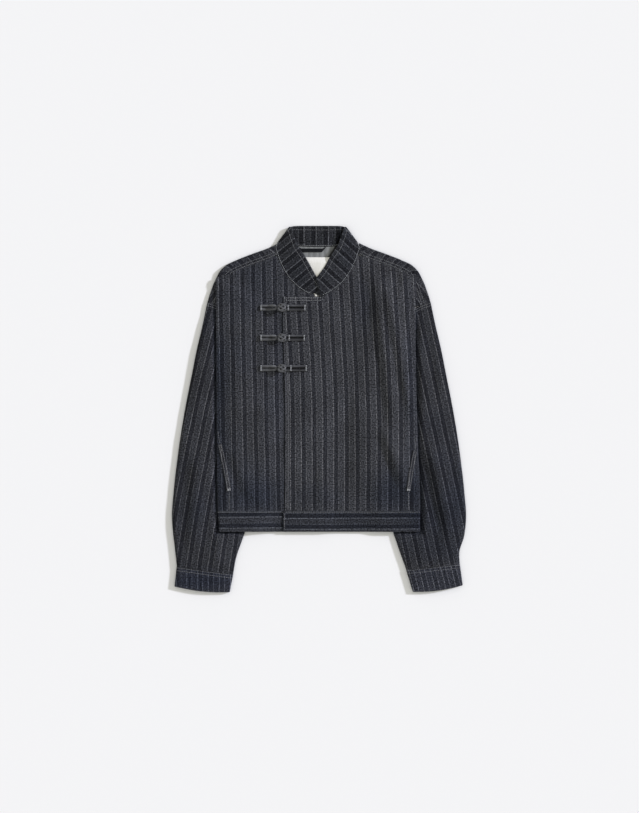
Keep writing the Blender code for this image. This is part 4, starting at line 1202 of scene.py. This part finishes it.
# Sleeves
def tube_section(rings, side, counts, wall, edge_height):
    """Points of a flattened tube: along under, round the outer edge, back on top, round the inner edge."""
    low, cap, top = counts
    out_x, out_y, in_x, in_y, bow = (rings[:, k, None] for k in range(5))
    wide = np.hypot(out_x - in_x, out_y - in_y)
    turn = (edge_height - wall) / 2
    near = (wall / 2 + turn) / wide
    half = math.pi * np.arange(cap)[None] / cap
    f = np.concatenate([mix(near, 1 - near, np.arange(low)[None] / low),
                        1 - near + turn * np.sin(half) / wide,
                        mix(1 - near, near, np.arange(top)[None] / top),
                        near - turn * np.sin(half) / wide], axis=1)
    z = np.concatenate([np.full((1, low), wall / 2), wall / 2 + turn * (1 - np.cos(half)),
                        np.full((1, top), edge_height - wall / 2),
                        wall / 2 + turn * (1 + np.cos(half))], axis=1)
    x = side * mix(in_x, out_x, f)
    inward = (1 - bow) * (1 - f) + bow * (1 - f) ** 3
    on_top = np.zeros(f.shape[1])
    on_top[low + cap + 1:low + cap + top] = 1
    return x, mix(out_y, in_y, inward), z * np.ones_like(wide), np.clip(f, 0, 1), on_top


def tube_places(points, side, outer_column, stripes):
    """Places on a flat tube's cloth: straight stripes that drift outwards, also underneath."""
    x, y = np.abs(points[..., 0]), points[..., 1]
    across = x + stripes.drift * y + stripes.bend * y ** 2
    at_edge = across[:, outer_column:outer_column + 1]
    folded = np.where(np.arange(points.shape[1]) < outer_column, 2 * at_edge - across, across)
    folded = np.concatenate([folded, across[:, :1]], axis=1)
    along = y - stripes.drift * x
    along = np.concatenate([along, along[:, :1]], axis=1)
    return stacked(side * (folded - stripes.line) + LINE_MIDDLE, along + ALONG_START)


def make_sleeve(side):
    counts = low, cap, top = 38, 10, 64
    outer_column = low + cap // 2
    share = np.linspace(0, 1, 151)
    rings = along_table(SLEEVE + SLEEVE_END[side], share)
    x, y, z, f, on_top = tube_section(rings, side, counts, CLOTH, SLEEVE_EDGE)
    share = share[:, None]
    started = ease(share / SLEEVE_START)
    outside = np.maximum(np.abs(x) - side_x(side, np.maximum(y, HEM_Y)), HEM_Y - y)
    free = ease((outside - SLEEVE_FREE_FROM) / SLEEVE_FREE_RAMP) * started
    rounded = np.clip(np.sin(math.pi * f), 0, 1) ** np.where(f > 0.5, SLEEVE_ROUND[side], 0.5)
    crown = SLEEVE_CROWN + folds(SLEEVE_FOLDS[side], x, y) + SLEEVE_UNEVEN * unevenness(x + 0.3, y)
    z = z + on_top * free * rounded * np.maximum(crown, SLEEVE_LEAST)
    groove = bell(outside - GROOVE_AWAY, GROOVE_WIDTH)
    z = z - on_top * GROOVE_DEPTH * groove * started
    seam_away = (1 - share) * SLEEVE_LENGTH
    ripple = (puckers(x, seam_away) + 0.5) * bell(seam_away, SLEEVE_PUCKER_REACH)
    points = stacked(x, y, z + on_top * rounded * SLEEVE_PUCKER * ripple)
    places = tube_places(points, side, outer_column, SLEEVE_STRIPES[side])
    # The groove beside the body is also painted darker, as painted shade.
    panel = shell("sleeve_" + WORD[side], points, places,
                  CLOTH, [sleeve_charcoal, wrong_side], "pinstripe_cloth",
                  closed=True, flip=side < 0, shade=tone_and_shade(points) * (1 - PAINTED_GROOVE_SHADE[side] * groove))
    visible = np.arange(outer_column, low + cap + 40)
    step = np.linalg.norm(points[1] - points[0], axis=1)[visible]
    return [on_panel(panel, away / step, visible) for away in SLEEVE_ROWS]


def make_cuff(side):
    first, last = (np.array(ring) for ring in CUFF[side])
    counts = low, cap, _ = 44, 10, 44
    rows = 18
    share = np.linspace(0, 1, rows + 1)[:, None]
    x, y, z, f, on_top = tube_section(mix(first, last, share), side, counts, DOUBLED, CUFF_EDGE)
    ripple = CUFF_PUCKER * puckers(x, CUFF_PUCKER_REACH - share * CUFF_DEPTH, CUFF_PUCKER_REACH)
    z = z + on_top * (CUFF_CROWN * np.sin(math.pi * f) + np.sin(math.pi * share) * CUFF_PUFF + ripple)
    points = stacked(x, y - CUFF_BOW * share * np.sin(math.pi * f), z)
    places = tube_places(points, side, low + cap // 2, CUFF_STRIPES[side])
    panel = shell("cuff_" + WORD[side], points, places,
                  DOUBLED, [cuff_look] * 2, "band_cloth", rests_on=["sleeve_" + WORD[side]],
                  closed=True, flip=side < 0, shade=tone_and_shade(points))
    columns = np.arange(points.shape[1] - 1)
    deep = np.linalg.norm(points[-1] - points[0], axis=1)[columns]
    return [on_panel(panel, rows * away / deep, columns) for away in CUFF_ROWS]


# Bands
def collar_front(side, share):
    """Seam and edge points of the collar's front columns, share 0 at the fold and 1 at the front end."""
    ahead = np.minimum(share + COLLAR_FAN * share * (1 - share), 1)
    stand = mix(COLLAR_STAND, COLLAR_END_STAND, ease(share / 0.85))
    lines = []
    edge = along_table(COLLAR_EDGE + EDGE_END[side], ahead)
    for line, up in ((collar_seam(side, share), 0), (edge, stand)):
        x, y = NECK_X + side * line[:, 0], line[:, 1]
        z = FRONT_LEVEL + up
        if side > 0:
            lap = ease((COLLAR_LAP.x - x) / COLLAR_LAP_RAMP.x)
            lap = lap * ease((COLLAR_LAP.y - y) / COLLAR_LAP_RAMP.y)
            z = z + BAND_STEP * lap
        lines.append(stacked(x, y, z))
    return np.stack(lines)


def collar_fold(side, share):
    """Columns round a shoulder fold, share 0 on the front side and 1 on the back."""
    run = np.array(COLLAR_FOLD_EDGE) - np.array(COLLAR_FOLD_SEAM)
    out_x, out_y = np.array([run[1], -run[0]]) / np.hypot(*run)
    lines = []
    for (x, y), up, rise in ((COLLAR_FOLD_SEAM, 0, out_y), (COLLAR_FOLD_EDGE, COLLAR_STAND, 0)):
        radius = (FRONT_LEVEL + up - COLLAR_BACK_LEVEL) / 2
        out = radius * np.sin(math.pi * share)
        z = COLLAR_BACK_LEVEL + radius * (1 + np.cos(math.pi * share))
        lines.append(stacked(NECK_X + side * (x + out_x * out), y + rise * out, z))
    return np.stack(lines)


def collar_back(share):
    seam_x = mix(-COLLAR_FOLD_SEAM.x, COLLAR_FOLD_SEAM.x, share)
    edge_x = mix(-COLLAR_FOLD_EDGE.x, COLLAR_FOLD_EDGE.x, share)
    edge_y = COLLAR_FOLD_EDGE.y + COLLAR_EDGE_RISE * (1 - (2 * share - 1) ** 10)
    return np.stack([stacked(NECK_X + seam_x, collar_back_seam_y(seam_x), COLLAR_BACK_LEVEL),
                     stacked(NECK_X + edge_x, edge_y, COLLAR_BACK_LEVEL)])


def make_collar():
    """One doubled band: right end, round the right fold, along the back, round the left fold, left end."""
    front, turn, back, rows = 70, 12, 48, 16
    seam, edge = np.concatenate([
        collar_front(-1, 1 - np.arange(front) / front),
        collar_fold(-1, np.arange(turn) / turn),
        collar_back(np.arange(back) / back),
        collar_fold(1, 1 - np.arange(turn) / turn),
        collar_front(1, np.arange(front + 1) / front),
    ], axis=1)
    columns = len(seam)
    across = np.linspace(0, 1, rows + 1)[:, None]
    points = mix(seam[None], edge[None], across[..., None])
    number = np.arange(columns)
    to_end = np.clip(1 - np.minimum(number, columns - 1 - number) / front, 0, 1)
    soft = ease(to_end / 0.15) * ease((1 - to_end) / 0.05 + 0.3)
    ripple = puckers(lengths(seam)[None], across * COLLAR_DEPTH, COLLAR_PUCKER_REACH)
    points[..., 2] += soft * (COLLAR_PUFF * np.sin(math.pi * across) + COLLAR_PUCKER * ripple)
    x, y = points[..., 0], points[..., 1]
    width = np.linalg.norm(edge - seam, axis=1)

    on_back = (COLLAR_BACK_LINE - x) * STRIPE_REPEAT / COLLAR_BACK_REPEAT
    u = on_back.copy()
    round_fold = np.arange(turn + 1)
    ends = ((-1, 0, front + turn, front), (1, columns - 1 - front - turn, columns, 0))
    for side, first, last, fold in ends:
        stripes = COLLAR_STRIPES[side]
        lean = math.radians(stripes.degrees)
        down = side * x * math.sin(lean) + y * math.cos(lean) - stripes.line
        on_front_part = side * STRIPE_REPEAT * (down / stripes.repeat - COLLAR_REPEATS)
        from_back = round_fold / turn if side > 0 else 1 - round_fold / turn
        share = np.interp(number, first + fold + round_fold, from_back)
        u[:, first:last] = mix(on_back, on_front_part, share)[:, first:last]
    on_back_part = (number >= front) & (number < columns - 1 - front - turn // 2)
    # Its back takes the same painted shade, beside its left front's free edge.
    panel = shell("collar", points, stacked(u + LINE_MIDDLE, across * width), DOUBLED, [collar_look] * 2,
                  "band_cloth", "folded", ["front_left", "front_right", "back"],
                  shade=COLLAR_SHADE * np.where(on_back_part, painted_shade_under_collar(x, y), 1))
    inside = number[3:-3]
    sewn = number[round(0.15 * front):-2]
    by_edge = rows * (1 - COLLAR_EDGE_ROW / width)
    by_seam = rows * COLLAR_SEAM_ROW / width
    return ([on_panel(panel, by_edge[inside], inside, face) for face in (1, -1)],
            [on_panel(panel, by_seam[sewn], sewn, face) for face in (1, -1)])


def make_waistband():
    """One doubled band: the flap's end, left side, back, right side, and the end under the flap."""
    rows, front, turns, back, end = 16, 84, 10, 100, 128
    turn = (FRONT_LEVEL - COLLAR_BACK_LEVEL) / 2
    inset = DOUBLED / 2 + turn
    y = np.linspace(HEM_Y, BAND_TOP_Y, rows + 1)[:, None]
    left, right = side_x(1, y) - inset, -side_x(-1, y) + inset

    def side_turn(side, share):
        x = side * (side_x(side, y) - inset + turn * np.sin(math.pi * share))
        return stacked(x, y, COLLAR_BACK_LEVEL + LIFT + turn * (1 + np.cos(math.pi * share)))

    def run(start, stop, count, level, last=0):
        x = mix(start, stop, np.arange(count + last)[None] / count)
        return stacked(x, y, level + lift(x, np.broadcast_to(y, x.shape)))

    round_it = np.arange(turns)[None] / turns
    flap = run(BAND_END_X, left, front, FRONT_LEVEL)
    flap[..., 2] += BAND_STEP * ease((UNDERLAP_X + BAND_LAP + STEP_RAMP - flap[..., 0]) / STEP_RAMP)
    points = np.concatenate([
        flap, side_turn(1, round_it), run(left, right, back, COLLAR_BACK_LEVEL),
        side_turn(-1, 1 - round_it), run(right, UNDERLAP_X, end, FRONT_LEVEL, last=1),
    ], axis=1)
    x, y = points[..., 0], points[..., 1]
    number = np.arange(points.shape[1])
    on_right = number > front + back + 2 * turns
    share = (y - HEM_Y) / (BAND_TOP_Y - HEM_Y)
    ripple = puckers(x, BAND_TOP_Y - y, 0.007) + puckers(x + 0.4, y - HEM_Y, 0.006)
    puffed = BAND_PUFF * np.sin(math.pi * share) + BAND_RIPPLE * ripple
    points[..., 2] += ((number < front) | on_right) * puffed
    along = lengths(np.moveaxis(points, 1, 0)).T
    # Painted shadow on the waistband's end under the flap, beside the flap's end
    painted_shade_by_flap = bell(x - BAND_END_X + BAND_SHADE_AWAY, BAND_SHADE_WIDTH) * on_right
    across = y + BAND_LINE - BAND_DRIFT * along / along[:, -1:]
    panel = shell("waistband", points, stacked(across, along), DOUBLED, [navy] * 2, "band_cloth",
                  "folded", ["back"], shade=tone_and_shade(points) * (1 - PAINTED_FLAP_SHADE * painted_shade_by_flap))
    step_x = (points[rows // 2, 1] - points[rows // 2, 0])[0]
    return [on_panel(panel, rows * (1 - BAND_ROW / (BAND_TOP_Y - HEM_Y)), number[1:-1]),
            on_panel(panel, np.arange(1, rows), BAND_END_ROW / step_x)]


# Small pieces
def make_pocket(name, slit):
    """The stitched edge of a pocket mouth, made from the panel's own points and moved out."""
    side = slit.side
    run = np.array([slit.x1 - slit.x0, slit.y1 - slit.y0])
    across = np.array([run[1], -run[0]]) / np.hypot(*run)
    rows, columns, row_points = 36, 6, 12
    t = np.linspace(0, 1, rows + 1)[:, None]
    aside = POCKET_HALF_WIDTH * np.linspace(-1, 1, columns + 1)[None]
    x = slit.x0 + run[0] * t + across[0] * aside + side * POCKET_CURVE * (1 - t) ** 2
    y = slit.y0 + run[1] * t + across[1] * aside
    above = CLOTH / 2 + SEAM_GAP + POCKET_CLOTH / 2
    width, length = FLAT[name]
    panel = shell(name, stacked(x, y, front_height(side, x, y) + above),
                  stacked(grain(side, x, y), y + ALONG_START), POCKET_CLOTH, [charcoal, wrong_side],
                  "pinstripe_cloth", rests_on=["front_" + WORD[side]], area=0.5 * width * length,
                  flip=bool(across[0] * run[1] - across[1] * run[0] < 0))
    lines = [on_panel(panel, np.arange(rows + 1), at) for at in (1.0, columns - 1.0)]
    low_y = np.linspace(slit.y1 - 0.002, BAND_TOP_Y + 0.002, row_points)
    lines.append(on_front(side, slit.x1, low_y))
    up_y = np.linspace(slit.y0 + 0.001, slit.y0 + POCKET_RUN_OUT, row_points)
    out_x = side * (side_x(side, up_y[-1]) - POCKET_RUN_OUT_INSET)
    up_x = mix(slit.x0 + side * POCKET_CURVE, out_x, np.linspace(0, 1, row_points) ** 0.8)
    lines.append(on_front(side, up_x, up_y))
    bartack = [on_panel(panel, at, np.linspace(0, columns, 9))
               for at in np.linspace(rows - 1.6, rows - 0.1, 8)]
    return lines, bartack


def label_rise(x, y):
    """How far the loose label stands up: in the V of the collar, and in the gap under its end."""
    right_edge, left_edge = (edge.x + edge.slope * (V_TOP_Y - y) for edge in (V_RIGHT, V_LEFT))
    across = (x - right_edge) / np.maximum(left_edge - right_edge, V_LEAST_WIDE)
    in_v = ease((LABEL.high - y) / 0.012) * ease((y - V_LOW_Y) / 0.016)
    in_v = in_v * ease((x - right_edge + 0.006) / 0.008) * ease((left_edge + 0.010 - x) / 0.008)
    in_gap = bell(x - GAP_SPOT.x, GAP_SPOT_WIDE) * bell(y - GAP_SPOT.y, GAP_SPOT_LONG)
    to_left = ease(across) * ease((y - V_LEFT_STAND_Y) / V_LEFT_STAND_RAMP)
    return V_STAND * in_v * (1 + to_left) + GAP_STAND * in_gap


def make_flat(name, flat, look, slot, rise=None, cut_off=0.0, slack=0.0):
    """Cloth on the inside of the back; cut_off slants its left end, slack lowers its upper edge."""
    right, left, low, high, wall = flat
    x, y = np.meshgrid(np.linspace(right + wall / 2, left - wall / 2, 61),
                       np.linspace(low + wall / 2, high - wall / 2, 81))
    up = (y - low) / (high - low)
    y = y - slack * up * ease((x - right) / SLACK_RAMP) * ease((left - x) / SLACK_RAMP)
    x = x - cut_off * (x - right) / (left - right) * (1 - up)
    z = ON_BACK + wall / 2 + FLAT_UNEVEN * (1 + unevenness(3 * x, 3 * y + 0.2))
    if rise:
        z = z + rise(x, y)
    shell(name, stacked(x, y, z), stacked(x, y), wall, [look] * 2, slot, rests_on=["back"],
          flat=(left - right, max(high - low, LEAST_FLAT)))


# Fastenings
def turks_head():
    """A ball knot: one strand that winds three times round, over and under itself, and a core that is made nearly
    black, as painted shade between the strands.
    """
    strand = KNOT_STRAND
    s = np.linspace(0, 2 * math.pi, 260, endpoint=False)
    up = math.radians(52) * np.cos(5 * s)
    out = KNOT_RADIUS - strand * 0.95 + strand * 0.55 * np.sin(10 * s)
    path = stacked(out * np.sin(up), out * np.cos(up) * np.cos(3 * s), out * np.cos(up) * np.sin(3 * s))
    wound = tube(path, strand, 8, closed=True)
    rings, sides = 12, 20
    down, round_it = np.meshgrid(np.linspace(0, math.pi, rings + 1), np.arange(sides) * 2 * math.pi / sides,
                                 indexing="ij")
    ball = stacked(np.sin(down) * np.cos(round_it), np.sin(down) * np.sin(round_it), np.cos(down))
    ball_faces, ball_places = cell_faces(
        *cells(rings, sides), lambda a, b: a * sides + b % sides,
        lambda a, b: stacked(b % sides * 0.002, a * 0.002), (0, 3, 2, 1))
    core = (KNOT_RADIUS - strand * 1.25) * ball.reshape(-1, 3), ball_faces, ball_places
    in_core = np.repeat([0, 1], [len(wound[1]), len(ball_faces)])
    points, faces, places = joined([wound, core])
    return points * np.array([KNOT_STRETCH, 1, KNOT_FLATTEN]), faces, places, in_core


def doubled_cord(name, x, y, z, apart, look):
    """A cord along x and z beside a row at y, round a bend at its last point, and back on the other side."""
    turned = np.linspace(0, math.pi, 13)
    onward = np.sign(x[-1] - x[0]) * apart * np.sin(turned)
    strand = stacked(x, apart, z)
    bend = stacked(x[-1] + onward, apart * np.cos(turned), z[-1])
    path = np.concatenate([strand[:-1], bend, strand[-2::-1] * np.array([1, -1, 1])]) + np.array([0, y, 0])
    new_piece(name, tube(path, CORD_RADIUS, 12, flatten=CORD_FLATTEN), [look], "cord_cloth", True)


def make_frog(name, frog):
    """A fastening: doubled cord to a ball knot on the right front, and a doubled loop on the flap."""
    y = frog.y
    cord_half = CORD_RADIUS * CORD_FLATTEN
    on_cloth = CLOTH / 2 + SEAM_GAP
    on_flap = float(front_height(1, KNOT_X + 0.006, y)) + on_cloth + cord_half
    knot_z = on_flap + cord_half + SEAM_GAP + KNOT_RADIUS * KNOT_FLATTEN
    stem_in = KNOT_X - KNOT_RADIUS - CORD_RADIUS - KNOT_GAP
    stem_rise, bend_from = stem_in - STEM_RISE, stem_in - STEM_APART
    x = np.linspace(STEM_END_X, bend_from, 26)
    risen = ease((x - stem_rise) / (bend_from - stem_rise))
    z = mix(front_height(-1, x, y) + on_cloth + cord_half, knot_z - KNOT_OVER_STEM, risen)
    doubled_cord(name + "_stem", x, y, z, STEM_APART, stem_look)

    x = np.linspace(frog.outer_bar_x + LOOP_PAST_BAR, KNOT_X + LOOP_PAST_KNOT + LOOP_APART, 30)
    z = front_height(1, x, y) + on_cloth + cord_half
    doubled_cord(name + "_loop", x, y, z, LOOP_APART, loop_look)

    points, faces, places, in_core = turks_head()
    shape = points + np.array([KNOT_X, y, knot_z]), faces, places
    # The core takes the nearly black tape: painted shade seen between the strands.
    new_piece(name + "_knot", shape, [cord_look, tape], "cord_cloth", True, in_core)

    lines = []
    bars = ((-1, STEM_END_X + BAR_PAST_END, STEM_APART), (1, frog.inner_bar_x, LOOP_APART),
            (1, frog.outer_bar_x, LOOP_APART))
    for side, bar_x, apart in bars:
        half = apart + CORD_RADIUS * BAR_REACH
        across = np.linspace(-half, half, 23)
        on_cord = np.sqrt(np.clip(1 - ((np.abs(across) - apart) / CORD_RADIUS) ** 2, 0, 1))
        for aside in BAR_ROWS:
            x = np.full_like(across, bar_x + aside)
            z = front_height(side, x, y + across) + on_cloth + cord_half * (1 + on_cord)
            lines.append((stacked(x, y + across, z), unit(stacked(0.0, -np.gradient(z, across), 1.0))))
    return lines


charcoal = striped_cloth("pinstripe", CHARCOAL)
sleeve_charcoal = striped_cloth("sleeve_pinstripe", SLEEVE_CHARCOAL)
navy = striped_cloth("band_pinstripe", NAVY)
cuff_look = striped_cloth("cuff_pinstripe", CUFF_NAVY)
wrong_side = plain_cloth("wrong_side", WRONG_SIDE, contrast=0.25, stripe=0.14)
collar_look = striped_cloth("collar_pinstripe", DEEP)
cord_look = plain_cloth("cord", KNOT_CORD, contrast=0.5, strength=0.6)
# Painted light and shade on the cords: lighter on their outer flanks, darker on the inner ones between the two strands
stem_look = plain_cloth("stem_cord", CORD, contrast=0.5, strength=0.6, flank=-0.45)
loop_look = plain_cloth("loop_cord", LOOP_CORD, contrast=0.5, strength=0.6, flank=0.85)
thread = plain_cloth("thread", THREAD, contrast=0.3, roughness=0.65)
bright_thread = plain_cloth("bright_thread", BRIGHT_THREAD, contrast=0.3, roughness=0.65)
satin = plain_cloth("satin", SATIN, contrast=0.05, sheen=0.2, roughness=0.5, strength=0.15)
tape = plain_cloth("tape", TAPE, contrast=0.25, roughness=0.8)

make_back()
for wearer_side, word in WORD.items():
    make_front(wearer_side)
    sew("yoke_stitches_" + word, make_yoke(wearer_side))
    sew("sleeve_stitches_" + word, make_sleeve(wearer_side))
    sew("cuff_stitches_" + word, make_cuff(wearer_side), "band_cloth")
collar_edge_lines, collar_seam_lines = make_collar()
sew("collar_edge_stitches", collar_edge_lines, "band_cloth")
sew("collar_seam_stitches", collar_seam_lines, "band_cloth", bright_thread)
sew("waistband_stitches", make_waistband(), "band_cloth")
for pocket_name, pocket_slit in POCKETS.items():
    pocket_lines, pocket_bartack = make_pocket(pocket_name, pocket_slit)
    sew(pocket_name + "_stitches", pocket_lines)
    sew(pocket_name + "_bartack", pocket_bartack, look=bright_thread)
make_flat("label", LABEL, satin, "label_cloth", rise=label_rise)
make_flat("hanger", HANGER, tape, "band_cloth", cut_off=HANGER_CUT, slack=HANGER_SLACK)
for frog_name, frog_row in FROGS.items():
    sew(frog_name + "_bartacks", make_frog(frog_name, frog_row), "cord_cloth", bright_thread)

flap_y = np.linspace(BAND_TOP_Y + 0.002, FLAP_TOP_Y - 0.0020, 160)
sew("flap_stitches", [on_front(1, flap_edge_x(flap_y) + FLAP_ROW, flap_y)])
flap_x = np.linspace(flap_edge_x(FLAP_TOP_Y) + 0.0030, FLAP_SPLIT_X - 0.0010, 40)
flap_top_lines = [on_front(1, flap_x, FLAP_TOP_Y - below) for below in FLAP_TOP_ROWS]
sew("flap_top_stitches", flap_top_lines, look=bright_thread)


# Studio
def make_floor():
    look = Look("paper", 0.9, specular=0.1)
    look.shader.inputs["Base Color"].default_value = (*PAPER, 1)
    mesh = bpy.data.meshes.new("floor")
    corners = [(-1, -1), (1, -1), (1, 1), (-1, 1)]
    mesh.from_pydata([(FLOOR_HALF * x, FLOOR_HALF * y, FLOOR_Z) for x, y in corners], [], [(0, 1, 2, 3)])
    mesh.materials.append(look.material)
    made = bpy.data.objects.new("floor", mesh)
    bpy.context.scene.collection.objects.link(made)
    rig.stage(made)


def make_light(name, place, softness, power, colour):
    """An even light from the way of a place, as from a softbox far off."""
    data = bpy.data.lights.new(name, "SUN")
    data.color = colour
    data.angle = math.radians(softness)
    data.energy = power
    made = bpy.data.objects.new(name, data)
    made.location = place
    direction = np.array(place) / np.linalg.norm(place)
    made.rotation_euler = (math.acos(direction[2]), 0, math.atan2(direction[1], direction[0]) + math.pi / 2)
    bpy.context.scene.collection.objects.link(made)


make_floor()
make_light("key", (3.4, 1.3, 1.47), 5, 3.2, (0.97, 0.983, 1.11))
world = bpy.data.worlds.new("studio")
world.use_nodes = True
world.node_tree.nodes["Background"].inputs["Color"].default_value = (1, 0.994, 0.929, 1)
world.node_tree.nodes["Background"].inputs["Strength"].default_value = 0.71
bpy.context.scene.world = world

camera_data = bpy.data.cameras.new("camera")
camera_data.sensor_fit = "VERTICAL"
camera_data.sensor_height = SENSOR
camera_data.lens = SENSOR * CAMERA_UP / FRAME_HEIGHT
camera_data.clip_end = 50
camera = bpy.data.objects.new("camera", camera_data)
camera.location = (*FRAME_CENTRE, CAMERA_UP)
bpy.context.scene.collection.objects.link(camera)
bpy.context.scene.camera = camera
bpy.context.scene.view_settings.view_transform = "Standard"

with open("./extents.json", "w") as size_file:
    json.dump({"cad": [list(map(float, k)) for k in cad_box], "visual": [list(map(float, k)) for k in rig.bounds()]},
              size_file)
